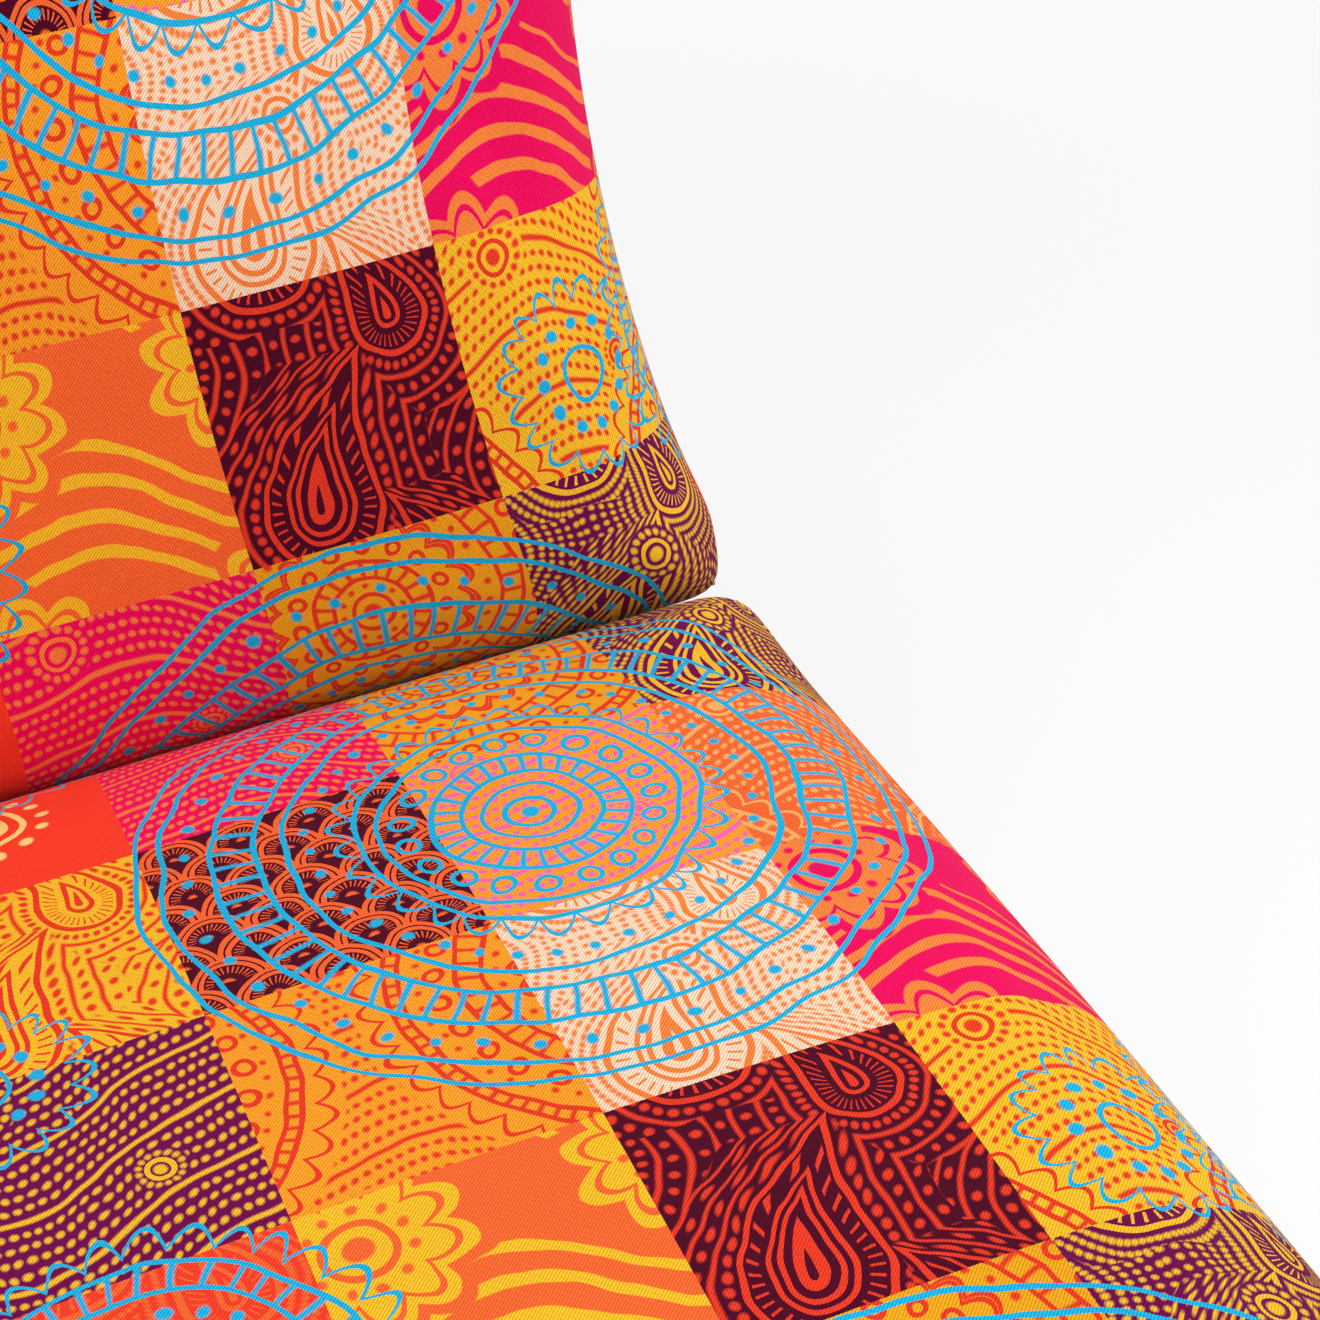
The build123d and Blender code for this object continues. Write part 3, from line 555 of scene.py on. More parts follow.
# %% Overprinted rings
over_rings, (x_over, y_over), out = new_group(
    "overprinted rings", {"X": 0, "Y": 0}, {"Ink": "Float"}
)
thin, bold = 0.0095, 0.0105
designs = {
    "large": dict(
        dot=0.035,
        rings=(
            (0.09, bold), (0.17, thin), (0.54, 0.01), (0.62, 0.01), (0.88, bold), (1.33, bold),
            (1.42, thin),
        ),
        ladders=((0.25, 0.36, 28, bold), (0.98, 1.14, 70, bold)),
        bead_rings=((0.45, 19, 0.04, thin), (0.8, 38, 0.02), (1.24, 46, 0.022)),
        arches=((0.62, 30, 0.09, bold),),
    ),
    "small": dict(
        dot=0.05, rings=((0.35, thin),), ladders=((0.14, 0.26, 16, thin), (0.52, 0.63, 40, thin)),
        bead_rings=((0.43, 24, 0.022),), arches=((0.68, 34, 0.09, bold),),
    ),
    "tiny": dict(
        rings=((0.1, thin),), bead_rings=((0.2, 12, 0.026),), arches=((0.3, 18, 0.08, thin),),
    ),
}
pushes = shaken(over_rings, x_over, y_over, 3.0, 0.09)
ring_inks = []
for *centre, design in (
    (2.35, 1.55, "large"), (0.45, 3.4, "small"), (0.25, 1.0, "tiny"), (3.5, 3.35, "tiny"),
):
    local_x, local_y = (
        ((value - middle) / repeat_squares + 0.5).fract() * repeat_squares
        - repeat_squares / 2 + push
        for value, middle, push in zip((x_over, y_over), centre, pushes)
    )
    ring_inks.append(round_drawing(*round_place(local_x, local_y), **designs[design]))
feed_all(over_rings, out, Ink=merged(ring_inks))
over = place_group(tree, over_rings, X=x, Y=y)["Ink"]
colour = mixed(tree, over, colour, linear(*inks["teal"]))
print("rings wired")

# %% Cloth's tone, weave, painted shade of the weave, and relief
# Painted shade: the cloth's colour is darkest in the weave's valleys and lighter on the yarn tops
painted_valley_shade, painted_yarn_top_light = 0.81, 0.34
weave = place_group(tree, twill_weave, Across=across, Along=along, Pitch=0.0016)["Height"]
place = object_place(tree)
tone = place_group(tree, uneven_tone, Place=place, Scale=9.0, Low=0.95, High=1.04)["Tone"]
# Painted shade and light: the colour follows the same weave height as the bump, darker low and
# lighter high, times the uneven tone
shade = (weave * painted_yarn_top_light + painted_valley_shade) * tone
toned_and_shaded = add_node(tree, "ShaderNodeVectorMath", {"operation": "SCALE"}, Scale=shade)
feed(tree, toned_and_shaded.inputs[0], colour)
relief = bumped(tree, weave, 0.0004, 0.8)
feed_all(tree, shader, Base_Color=toned_and_shaded.outputs[0], Normal=relief)
print("patchwork fabric:", len(tree.nodes), "nodes")

# %% [markdown]
# ## Black lining
# Underneath, where nobody sees it, a cover has a cheap black felt with a pressed pattern of
# small points. It breathes and slides on the slats.

# %% Lining material
lining, tree, shader = new_material(
    "lining", Roughness=0.9, Sheen_Weight=0.2, Specular_IOR_Level=0.2
)
place = object_place(tree)
points = add_node(
    tree, "ShaderNodeTexVoronoi", {"distance": "CHEBYCHEV"},
    Vector=place, Scale=420.0, Randomness=0.0,
)
pressed = Wire(tree, points.outputs["Distance"]).below(0.3, 0.2)
fibres = place_group(tree, fine_grain, Place=place, Scale=1400.0)["Height"]
tone = place_group(tree, uneven_tone, Place=place, Scale=60.0, Low=0.0, High=1.0)["Tone"]
felt = mixed(tree, tone, linear(24, 24, 26), linear(44, 44, 47))
relief = bumped(tree, fibres - pressed * 0.8, 0.0002, 0.7)
feed_all(tree, shader, Base_Color=felt, Normal=relief)

# %% Foam material
foam, tree, shader = new_material("cushion_foam", Roughness=0.95, Specular_IOR_Level=0.1)
place = object_place(tree)
cells = place_group(tree, fine_grain, Place=place, Scale=700.0)["Height"]
tone = place_group(tree, uneven_tone, Place=place, Scale=20.0, Low=0.0, High=1.0)["Tone"]
foam_colour = mixed(tree, tone, linear(240, 226, 168), linear(226, 206, 142))
feed_all(tree, shader, Base_Color=foam_colour, Normal=bumped(tree, cells, 0.0004))
print("lining and foam ready")

# %% [markdown]
# ## The shape of a cushion
# Each cushion is a thick foam slab with fully rounded edges in a tight cover. The mesh is a box
# whose six faces are bent onto its rounded edges, so the quads run along the cloth, and every
# face carries the cloth's own length and width. That makes it ready for a cloth simulation, and
# the print runs over an edge without a jump, as it does on the real chair.

# %% Sizes of the cushions
hinge = Vector((0, 0.208619, 0.34))
hinge_to_cushion = 0.024021
cushion_thickness = 0.13
edge_radius = 0.061
mesh_step = 0.0098
turn_steps = 5
lean = math.radians(10)
body_of = {"seat": "base", "back": "back"}
cushions = {
    "seat": dict(
        half_width=0.417, length=0.6, crown=0.016, draw=0.0, narrowing=0.004,
        along=Vector((0, -1, 0)), up=Vector((0, 0, 1)),
        cloth_way=-1, cloth_shift=(0.031, 0.052), cloth_stretch=1.0,
    ),
    "back": dict(
        half_width=0.4045, length=0.52, crown=0.013, draw=0.03, narrowing=0.0,
        along=Vector((0, math.sin(lean), math.cos(lean))),
        up=Vector((0, -math.cos(lean), math.sin(lean))),
        cloth_way=1, cloth_shift=(0.062, 0.035), cloth_stretch=1.05,
    ),
}


def rung_places(half):
    """Along one axis: the flat part's place, the tangent of the turn, and the cloth's length."""
    steps = max(1, round(2 * half / mesh_step))
    turns = [math.pi / 4 * k / turn_steps for k in range(turn_steps, 0, -1)]
    flat = [-half + 2 * half * k / steps for k in range(steps + 1)]
    low = [(-half, -math.tan(turn), -half - edge_radius * turn) for turn in turns]
    high = [(half, math.tan(turn), half + edge_radius * turn) for turn in reversed(turns)]
    return low + [(place, 0.0, place) for place in flat] + high


def smooth(value):
    """0 below 0, 1 above 1, and an even curve between."""
    value = max(0.0, min(1.0, value))
    return value * value * (3 - 2 * value)


# %% Shape of a cushion
start_gap = 0.002
crease_reach = 0.1
crease_give = 0.06
under_reach = 0.75
corner_power = 5
crease_corner_power = 12
corner_reach = 0.045
narrow_reach = 0.35


def cushion_faces(half):
    """The six faces: axis order, side, lining or print, and the cloth's place on them."""
    turn_length = edge_radius * math.pi / 4
    reach = [size + turn_length for size in half]

    def drop(length, axis):
        return reach[axis] + reach[2] - length

    return (
        ((0, 1, 2), 1, False, lambda a, b: (a, b)),
        ((0, 1, 2), -1, True, lambda a, b: (a, b)),
        ((1, 2, 0), 1, False, lambda a, b: (drop(b, 0), a)),
        ((1, 2, 0), -1, False, lambda a, b: (-drop(b, 0), a)),
        ((0, 2, 1), 1, False, lambda a, b: (a, drop(b, 1))),
        ((0, 2, 1), -1, False, lambda a, b: (a, -drop(b, 1))),
    )


def give_at(place, normal, length):
    """How far the cloth may move: nothing underneath, little in the crease, all on the face."""
    open_end = smooth((place[1] + length / 2) / crease_reach)
    above = smooth((normal[2] + under_reach) / under_reach)
    return (crease_give + (1 - crease_give) * open_end) * above


def squared(normal):
    """Push the normal out at the four upright corners, so that they turn tighter."""
    across, out = abs(normal[0]), abs(normal[1])
    power = corner_power if normal[1] > 0 else crease_corner_power
    if across and out:
        push = math.hypot(across, out) / (across**power + out**power) ** (1 / power)
        return Vector((normal[0] * push, normal[1] * push, normal[2]))
    return normal


def shaped(place, size, spec):
    """Crown the face, draw the two long sides in, and narrow the end at the crease."""
    half_x, half_y, half_z = (value / 2 for value in size)
    dome = 1.0
    for reach, value in ((half_x, place[0]), (half_y, place[1])):
        fall = min(1.0, max(0.0, (reach - abs(value)) / half_y))
        dome *= 1 - (1 - fall) ** 2
    lift = smooth((place[2] + half_z) / (2 * half_z))
    pull = spec["draw"] * max(0.0, 1 - (place[1] / (half_y - corner_reach)) ** 2)
    pull += spec["narrowing"] * (1 - smooth((place[1] + half_y) / narrow_reach))
    raised = place[2] + spec["crown"] * dome * lift
    return Vector((place[0] * (1 - pull / half_x), place[1], raised))


# %% Build a cushion's mesh
def cushion_mesh(spec, shrink=0.0):
    """Rounded slab: local places, their gives, quads, cloth places, and which are lining."""
    size = (2 * spec["half_width"], spec["length"], cushion_thickness)
    half = [value / 2 - edge_radius for value in size]
    rungs = [rung_places(value) for value in half]
    places, gives, quads, cloth, lined, known = [], [], [], [], [], {}

    def corner(axes, side, a, b):
        """Number of the point at two rungs of a face, made when it is first met."""
        inner, normal = Vector((0, 0, 0)), Vector((0, 0, 0))
        inner[axes[0]], normal[axes[0]] = a[0], a[1]
        inner[axes[1]], normal[axes[1]] = b[0], b[1]
        inner[axes[2]], normal[axes[2]] = side * half[axes[2]], side
        key = tuple(round(value, 6) for value in inner + normal.normalized() * edge_radius)
        if key not in known:
            normal.normalize()
            give = give_at(inner + normal * edge_radius, normal, spec["length"])
            place = inner + squared(normal) * (edge_radius - start_gap * give - shrink)
            known[key] = len(places)
            places.append(shaped(place, size, spec))
            gives.append(give)
        return known[key]

    for axes, side, under, cloth_of in cushion_faces(half):
        row_a, row_b = rungs[axes[0]], rungs[axes[1]]
        for i in range(len(row_a) - 1):
            for j in range(len(row_b) - 1):
                ring = [(row_a[i], row_b[j]), (row_a[i + 1], row_b[j]),
                        (row_a[i + 1], row_b[j + 1]), (row_a[i], row_b[j + 1])]
                quads.append([corner(axes, side, a, b) for a, b in ring])
                cloth.append([cloth_of(a[2], b[2]) for a, b in ring])
                lined.append(under)
    return places, gives, quads, cloth, lined


def cushion_object(name, spec, shrink=0.0):
    """Cushion mesh set in place over the solids, with its cloth map and materials."""
    places, gives, quads, cloth, lined = cushion_mesh(spec, shrink)
    middle = hinge + spec["along"] * (hinge_to_cushion + spec["length"] / 2)
    spots = [
        middle + Vector((x, 0, 0)) + spec["along"] * y + spec["up"] * z for x, y, z in places
    ]
    mesh = bpy.data.meshes.new(name)
    mesh.from_pydata(spots, [], quads)
    layer = mesh.uv_layers.new(name="cloth")
    (shift_u, shift_v), stretch = spec["cloth_shift"], spec["cloth_stretch"]
    for face, corners in zip(mesh.polygons, cloth):
        face.material_index = 1 if lined[face.index] else 0
        face.use_smooth = True
        for loop, (u, v) in zip(face.loop_indices, corners):
            place_v = spec["cloth_way"] * v / stretch + shift_v
            layer.data[loop].uv = (u / stretch + shift_u, place_v)
    tidy = bmesh.new()
    tidy.from_mesh(mesh)
    bmesh.ops.recalc_face_normals(tidy, faces=tidy.faces)
    tidy.to_mesh(mesh)
    tidy.free()
    mesh.materials.append(patchwork)
    mesh.materials.append(lining)
    piece = bpy.data.objects.new(name, mesh)
    bpy.context.scene.collection.objects.link(piece)
    return piece, gives


# %% [markdown]
# ## Filling the cushions
# Cloth pressure is what makes a cover look sewn and filled: the middle swells, and the corners
# and the held edges stay back. The simulation starts from a slightly smaller slab and pushes the
# cloth out for twenty frames. Free cloth also shrinks away from its frame, so each point keeps
# only the part of its move that goes straight out or in, held under a limit of its own.

# %% Inflate and finish a cushion
pressure = 4.0
frames = 20
pull_stiffness = 40
bend_stiffness = 2.0
held_under = 0.05
most_swell = 0.009
most_draw = 0.0015


def evaluated(piece):
    """The object as its modifiers leave it."""
    return piece.evaluated_get(bpy.context.evaluated_depsgraph_get())


def eased(move, most):
    """Move held under a limit, without a sudden stop."""
    return move * most / (most + abs(move)) if most else 0.0


def inflate(piece, gives):
    """Run the cloth simulation and keep each point's move along its normal, under a limit."""
    held = piece.vertex_groups.new(name="held")
    for index, give in enumerate(gives):
        held.add([index], 1.0 if give < held_under else 0.0, "REPLACE")
    cloth = piece.modifiers.new("cloth", "CLOTH")
    cloth.settings.vertex_group_mass = "held"
    cloth.settings.use_pressure = True
    cloth.settings.uniform_pressure_force = pressure
    cloth.settings.effector_weights.gravity = 0
    cloth.settings.tension_stiffness = pull_stiffness
    cloth.settings.compression_stiffness = pull_stiffness
    cloth.settings.bending_stiffness = bend_stiffness
    cloth.point_cache.frame_end = frames
    for step in range(1, frames + 1):
        bpy.context.scene.frame_set(step)
    swollen = evaluated(piece).data
    moved, kept = [], []
    for point, new, give in zip(piece.data.vertices, swollen.vertices, gives):
        out = (new.co - point.co).dot(point.normal)
        kept.append(eased(out, give * (most_swell if out > 0 else most_draw)))
        moved.append(point.co + point.normal * kept[-1])
    piece.modifiers.remove(cloth)
    piece.vertex_groups.remove(held)
    for point, spot in zip(piece.data.vertices, moved):
        point.co = spot
    bpy.context.scene.frame_set(1)
    print(piece.name, "moved from", round(min(kept), 4), "to", round(max(kept), 4))


def subdivide_once(piece):
    """One level of subdivision, kept as plain mesh."""
    levels = piece.modifiers.new("smooth", "SUBSURF")
    levels.levels = levels.render_levels = 1
    mesh = bpy.data.meshes.new_from_object(evaluated(piece))
    piece.modifiers.remove(levels)
    old = piece.data
    piece.data = mesh
    mesh.name = old.name
    bpy.data.meshes.remove(old)


# %% Find where the covers are sewn
cloth_jump = 0.002
seam_lift = 0.0002
stitch_inset = 0.0035


def seam_lines(piece):
    """Edges where the cover is sewn: round the rim against the lining, and up its four corners."""
    mesh = bmesh.new()
    mesh.from_mesh(piece.data)
    cloth = mesh.loops.layers.uv.active
    rim, corners = [], []
    for edge in mesh.edges:
        first, second = edge.link_faces
        if first.material_index != second.material_index:
            rim.append(edge)
            continue
        here, there = (
            next(loop[cloth].uv for loop in face.loops if loop.vert is edge.verts[0])
            for face in (first, second)
        )
        if (here - there).length > cloth_jump and first.material_index == 0:
            corners.append(edge)

    def line(edges, inset=0.0):
        """Points and edges of a seam, or of a line beside it on the printed cloth."""
        points = list({point.index: point for edge in edges for point in edge.verts}.values())
        order = {point.index: k for k, point in enumerate(points)}
        spots = []
        for point in points:
            beside = [face for face in point.link_faces if face.material_index == 0]
            printed = [face.calc_center_median() for face in beside]
            aside = (sum(printed, Vector()) / len(printed) - point.co).normalized() * inset
            spots.append(point.co + aside + point.normal * seam_lift)
        return spots, [tuple(order[point.index] for point in edge.verts) for edge in edges]

    lines = {"rim": line(rim), "stitches": line(rim, stitch_inset), "corners": line(corners)}
    mesh.free()
    return lines


# %% The two cushions
seams = {}
for name, spec in cushions.items():
    piece, gives = cushion_object(f"{name}_cushion", spec)
    inflate(piece, gives)
    subdivide_once(piece)
    seams[name] = seam_lines(piece)
    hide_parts(f"{name}_cover")
    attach(piece, body_of[name])
    print(name, "cushion:", len(piece.data.polygons), "faces")

# %% [markdown]
# ## The foam inside
# A block of foam fills each cover and keeps its shape. It is the same rounded slab, set a few
# millimetres inside the cloth, so that nothing of it pokes out where the cover is drawn in.

# %% Foam inside the covers
foam_depth = 0.0075
for name, spec in cushions.items():
    piece, _ = cushion_object(f"{name}_foam_block", spec, shrink=foam_depth)
    piece.data.materials.clear()
    piece.data.materials.append(foam)
    for face in piece.data.polygons:
        face.material_index = 0
    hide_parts(f"{name}_foam")
    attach(piece, body_of[name])
print("foam blocks made")

# %% [markdown]
# ## The seam round each cushion
# The printed cover is sewn to the black lining round the lower rim. A narrow cord of folded
# cloth stands out of that seam, and beside it runs a row of stitches. Both follow a path, so
# Geometry Nodes make them: one tree sweeps a round section along the path, and the other sets
# one short stitch after another. A longer path gets more stitches of the same size.

# %% How a path tree starts and ends
def path_tree(name, lengths):
    """Geometry tree with a path, some lengths and a material as inputs."""
    tree = bpy.data.node_groups.new(name, "GeometryNodeTree")
    kinds = {"Path": "Geometry", **dict.fromkeys(lengths, "Float"), "Material": "Material"}
    for socket_name, kind in kinds.items():
        tree.interface.new_socket(socket_name, in_out="INPUT", socket_type=f"NodeSocket{kind}")
    tree.interface.new_socket("Mesh", in_out="OUTPUT", socket_type="NodeSocketGeometry")
    given = add_node(tree, "NodeGroupInput").outputs
    curve = add_node(tree, "GeometryNodeMeshToCurve", Mesh=given["Path"]).outputs[0]
    return tree, given, curve


def end_tree(tree, given, mesh):
    """Realize the instances, set the material and put the mesh out."""
    whole = add_node(tree, "GeometryNodeRealizeInstances", Geometry=mesh).outputs[0]
    painted = add_node(
        tree, "GeometryNodeSetMaterial", Geometry=whole, Material=given["Material"]
    )
    add_node(tree, "NodeGroupOutput", Mesh=painted.outputs[0])


# %% The two path trees
cord_tree, given, curve = path_tree("cord along a seam", ["Radius"])
section = add_node(
    cord_tree, "GeometryNodeCurvePrimitiveCircle", Resolution=8, Radius=given["Radius"]
)
sweep = add_node(
    cord_tree, "GeometryNodeCurveToMesh", Curve=curve, Profile_Curve=section.outputs[0]
)
end_tree(cord_tree, given, sweep.outputs[0])

stitch_tree, given, curve = path_tree("stitches along a path", ["Pitch", "Length", "Thickness"])
evenly = add_node(
    stitch_tree, "GeometryNodeResampleCurve", {"mode": "LENGTH"}, Curve=curve, Length=given["Pitch"]
)
stitch = add_node(stitch_tree, "GeometryNodeMeshUVSphere", Segments=6, Rings=5, Radius=0.5)
size = add_node(
    stitch_tree, "ShaderNodeCombineXYZ",
    X=given["Thickness"], Y=given["Thickness"], Z=given["Length"],
)
heading = add_node(stitch_tree, "GeometryNodeInputTangent").outputs[0]
turned = add_node(stitch_tree, "FunctionNodeAlignRotationToVector", {"axis": "Z"}, Vector=heading)
sewn = add_node(
    stitch_tree, "GeometryNodeInstanceOnPoints", Points=evenly.outputs[0],
    Instance=stitch.outputs["Mesh"], Rotation=turned.outputs[0], Scale=size.outputs[0],
)
end_tree(stitch_tree, given, sewn.outputs[0])
print("trees:", cord_tree.name, "and", stitch_tree.name)

# %% Thread
thread, tree, shader = new_material(
    "thread", Roughness=0.7, Sheen_Weight=0.1, Specular_IOR_Level=0.3
)
place = object_place(tree)
plies = add_node(tree, "ShaderNodeTexNoise", Vector=place, Scale=2600.0, Detail=2.0)
fibre = Wire(tree, plies.outputs["Fac"])
thread_colour = mixed(tree, fibre, linear(214, 74, 36), linear(244, 120, 60))
feed_all(tree, shader, Base_Color=thread_colour, Normal=bumped(tree, fibre, 0.00015))
print("thread ready")


# %% Sew both cushions
def follow_path(name, line, tree, values):
    """Run a path tree over a line of points and edges and keep the result as plain mesh."""
    mesh = bpy.data.meshes.new(name)
    points, edges = line
    mesh.from_pydata(points, edges, [])
    piece = bpy.data.objects.new(name, mesh)
    bpy.context.scene.collection.objects.link(piece)
    maker = piece.modifiers.new("maker", "NODES")
    maker.node_group = tree
    for item in tree.interface.items_tree:
        if item.name in values:
            maker[item.identifier] = values[item.name]
    made = bpy.data.meshes.new_from_object(evaluated(piece))
    piece.modifiers.remove(maker)
    piece.data = made
    for face in made.polygons:
        face.use_smooth = True
    return piece


sewing = {
    "seam_cord": ("rim", cord_tree, {"Radius": 0.0019, "Material": lining}),
    "corner_seams": ("corners", cord_tree, {"Radius": 0.0007, "Material": thread}),
    "seam_stitches": (
        "stitches", stitch_tree,
        {"Pitch": 0.0042, "Length": 0.0034, "Thickness": 0.0009, "Material": thread},
    ),
}
for name, lines in seams.items():
    for sewn_part, (line_name, tree, values) in sewing.items():
        piece = follow_path(f"{name}_{sewn_part}", lines[line_name], tree, values)
        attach(piece, body_of[name])
        print(piece.name, len(piece.data.polygons), "faces")

# %% [markdown]
# ## Finishes of the hard pieces
# The frame is black powder coat, which has a fine orange-peel skin and rubs bright on its edges.
# Screws are zinc plated, the click wheels are plated yellow, the springs are blued, the slats
# are bent beech, and the small parts are moulded plastic. The solids have no cloth map, so each
# finish is worked out from the place on the object, in metres, and keeps its scale on any piece.

# %% Black powder coat
black_steel, tree, shader = new_material("black_steel", Specular_IOR_Level=0.5)
place = object_place(tree)
edge = place_group(tree, rubbed_edge, Place=place, Radius=0.0012, Amount=0.35)
peel = place_group(tree, fine_grain, Place=place, Scale=1100.0)["Height"]
tone = place_group(tree, uneven_tone, Place=place, Scale=14.0, Low=0.36, High=0.5)["Tone"]
coat = mixed(tree, edge["Rubbed"], linear(30, 30, 32), linear(120, 120, 122))
relief = bumped(tree, peel, 0.00012, 0.5, over=edge["Normal"])
feed_all(tree, shader, Base_Color=coat, Roughness=tone, Normal=relief)
print("powder coat:", len(tree.nodes), "nodes")


# %% Plated steels
def plated(name, first, second, cloud_scale, low, high):
    """Bare or plated metal whose colour drifts between two tones."""
    material, tree, shader = new_material(name, Metallic=1.0)
    place = object_place(tree)
    edge = place_group(tree, rubbed_edge, Place=place, Radius=0.0006, Amount=0.6)
    drift, rough = (
        place_group(tree, uneven_tone, Place=place, Scale=scale, Low=least, High=most)["Tone"]
        for scale, least, most in ((cloud_scale, 0.0, 1.0), (cloud_scale * 3, low, high))
    )
    skin = mixed(tree, drift, linear(*first), linear(*second))
    skin = mixed(tree, edge["Rubbed"], skin, linear(215, 215, 214))
    scratches = place_group(tree, fine_grain, Place=place, Scale=2200.0)["Height"]
    relief = bumped(tree, scratches, 0.00003, 0.4, over=edge["Normal"])
    feed_all(tree, shader, Base_Color=skin, Roughness=rough, Normal=relief)
    return material


zinc_steel = plated("zinc_steel", (196, 199, 203), (176, 180, 186), 160.0, 0.22, 0.36)
wheel_steel = plated("wheel_steel", (206, 176, 92), (186, 150, 112), 90.0, 0.26, 0.4)
spring_steel = plated("spring_steel", (70, 78, 98), (96, 92, 104), 60.0, 0.24, 0.36)
print("plated:", zinc_steel.name, wheel_steel.name, spring_steel.name)

# %% Beech slats
beech, tree, shader = new_material(
    "beech", Coat_Weight=0.25, Coat_Roughness=0.25, Specular_IOR_Level=0.4
)
place = object_place(tree)


def long_grain(stretch, detail, distortion=0.0):
    """Noise drawn out along the slat."""
    drawn_out = add_node(tree, "ShaderNodeMapping", Vector=place, Scale=stretch)
    noise = add_node(
        tree, "ShaderNodeTexNoise", Vector=drawn_out.outputs[0],
        Scale=1.0, Detail=detail, Distortion=distortion,
    )
    return Wire(tree, noise.outputs["Fac"])


fibre = long_grain((5.0, 90.0, 90.0), 6.0, 0.6)
fleck = long_grain((110.0, 900.0, 900.0), 2.0).above(0.62, 0.06)
wood = mixed(tree, fibre.above(0.5, 0.35), linear(226, 190, 146), linear(200, 156, 108))
wood = mixed(tree, fleck * 0.5, wood, linear(164, 116, 74))
relief = bumped(tree, fibre - fleck * 0.5, 0.0002, 0.5)
feed_all(tree, shader, Base_Color=wood, Roughness=fibre * 0.2 + 0.36, Normal=relief)
print("beech:", len(tree.nodes), "nodes")


# %% Moulded plastics and hook tape
roughness_drift = 0.06


def moulded(name, first, second, roughness):
    """Moulded plastic with a fine pebbled skin."""
    material, tree, shader = new_material(name, Specular_IOR_Level=0.45)
    place = object_place(tree)
    edge = place_group(tree, rubbed_edge, Place=place, Radius=0.0008, Amount=0.5)
    pebbles = place_group(tree, fine_grain, Place=place, Scale=1500.0)["Height"]
    tone = place_group(
        tree, uneven_tone,
        Place=place, Scale=40.0, Low=roughness - roughness_drift, High=roughness + roughness_drift,
    )
    skin = mixed(tree, edge["Rubbed"], linear(*first), linear(*second))
    relief = bumped(tree, pebbles, 0.0001, 0.5, over=edge["Normal"])
    feed_all(tree, shader, Base_Color=skin, Roughness=tone["Tone"], Normal=relief)
    return material


black_plastic = moulded("black_plastic", (34, 34, 36), (78, 78, 80), 0.5)
white_nylon = moulded("white_nylon", (232, 229, 218), (246, 244, 238), 0.42)

hook_tape, tree, shader = new_material(
    "hook_tape", Roughness=0.95, Sheen_Weight=0.3, Specular_IOR_Level=0.15
)
place = object_place(tree)
hooks = add_node(tree, "ShaderNodeTexVoronoi", Vector=place, Scale=900.0, Randomness=0.35)
loops = Wire(tree, hooks.outputs["Distance"])
# Painted shade: the tape is lighter on the hook tops and darker in the low gaps between them, by
# the field that raises the hooks
tape = mixed(tree, loops, linear(46, 46, 48), linear(14, 14, 15))
feed_all(tree, shader, Base_Color=tape, Normal=bumped(tree, loops * -1.0, 0.0007))
print("plastics and tape:", black_plastic.name, white_nylon.name, hook_tape.name)

# %% Put the finishes on the solids
finishes = dict(
    patchwork_fabric=patchwork, cushion_foam=foam, black_steel=black_steel, zinc_steel=zinc_steel,
    spring_steel=spring_steel, wheel_steel=wheel_steel, beech=beech, hook_tape=hook_tape,
    black_plastic=black_plastic, white_nylon=white_nylon,
)
for subpart in frame["record"]["subparts"]:
    solid = solids[subpart["node"]]
    solid.data.materials.clear()
    solid.data.materials.append(finishes[subpart["material_slot"]])
print("finished", len(solids), "solids")

# %% [markdown]
# ## Floor, world and lights
# A white floor and a white surround give the plain studio look. The surround shines at its full
# strength only where the camera, a mirror or glass sees it, so the background is white while
# the light on the chair stays at a plain level.

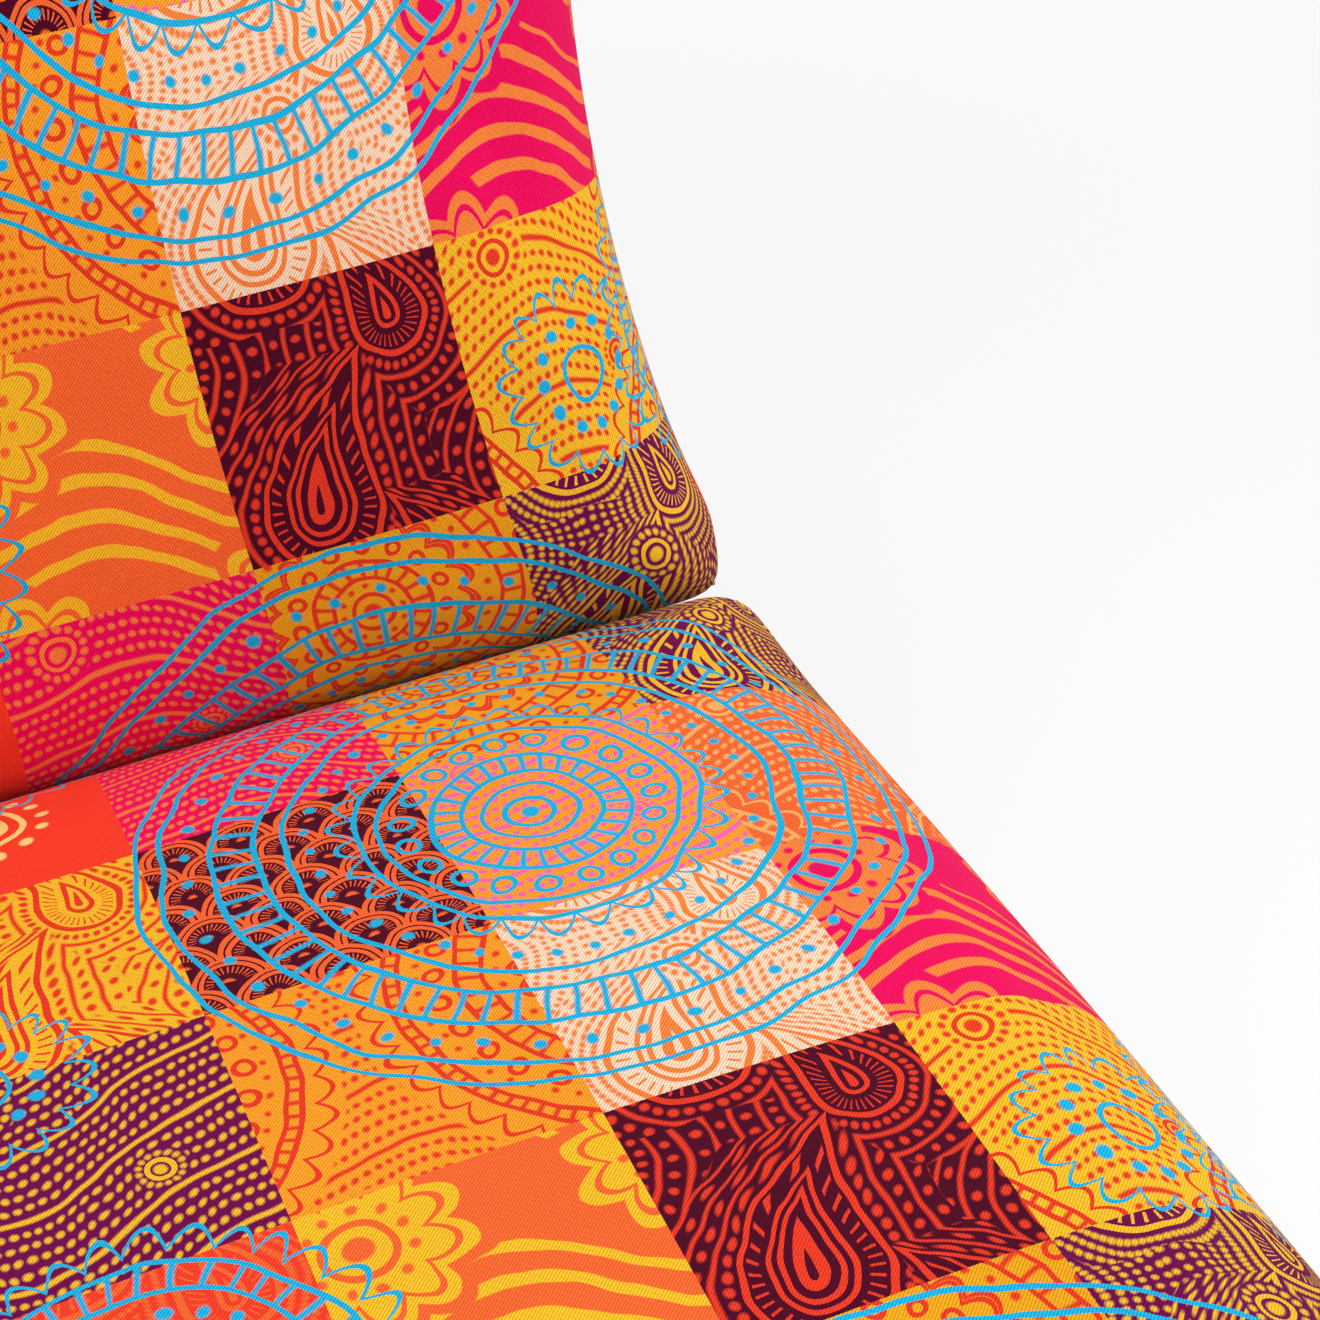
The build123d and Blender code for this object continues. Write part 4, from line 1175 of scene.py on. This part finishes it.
# %% Floor
floor_reach = 30.0
fade_middle, fade_width = 1.7, 2.2
corners = [(a * floor_reach, b * floor_reach, 0) for a, b in ((-1, -1), (1, -1), (1, 1), (-1, 1))]
floor_mesh = bpy.data.meshes.new("floor")
floor_mesh.from_pydata(corners, [], [range(4)])
floor = bpy.data.objects.new("floor", floor_mesh)
bpy.context.scene.collection.objects.link(floor)
floor_paint, tree, shader = new_material(
    "floor_paint", Base_Color=(0.9, 0.9, 0.9, 1), Roughness=0.9
)
seen = Wire(tree, tree.nodes.new("ShaderNodeLightPath").outputs["Is Camera Ray"])
glow = add_node(tree, "ShaderNodeEmission", Color=(1, 1, 1, 1), Strength=1.0)
blend = add_node(tree, "ShaderNodeMixShader")
apart = add_node(
    tree, "ShaderNodeVectorMath", {"operation": "LENGTH"}, Vector=object_place(tree)
)
far = Wire(tree, apart.outputs["Value"]).above(fade_middle, soft=fade_width)
for socket, value in enumerate((seen * (far * 0.5 + 0.5), shader.outputs[0], glow.outputs[0])):
    feed(tree, blend.inputs[socket], value)
feed_all(tree, tree.nodes["Material Output"], Surface=blend.outputs[0])
floor_mesh.materials.append(floor_paint)

# %% World
ambient = 0.5
world = bpy.data.worlds.new("studio")
bpy.context.scene.world = world
world.use_nodes = True
tree = world.node_tree
rays = add_node(tree, "ShaderNodeLightPath")
ray_names = ("Is Camera Ray", "Is Glossy Ray", "Is Transmission Ray")
seen = merged([Wire(tree, rays.outputs[name]) for name in ray_names])
shine = seen * (1 - ambient) + ambient
feed_all(tree, tree.nodes["Background"], Strength=shine, Color=(1, 1, 1, 1))
print("floor and surround ready")


# %% Soft boxes
def soft_box(name, place, target, width, power):
    """Square area light aimed at a point."""
    data = bpy.data.lights.new(name, "AREA")
    data.size, data.energy = width, power
    light = bpy.data.objects.new(name, data)
    light.location = place
    light.rotation_mode = "QUATERNION"
    light.rotation_quaternion = (Vector(target) - Vector(place)).to_track_quat("-Z", "Y")
    bpy.context.scene.collection.objects.link(light)


soft_box("overhead", (0.3, -0.6, 2.6), (0, 0.05, 0.4), 1.8, 42.0)
soft_box("side_fill", (2.2, -1.2, 1.6), (0, 0.1, 0.4), 1.5, 18.0)
bpy.context.scene.view_settings.view_transform = "Standard"
print("lights:", [thing.name for thing in bpy.data.lights])
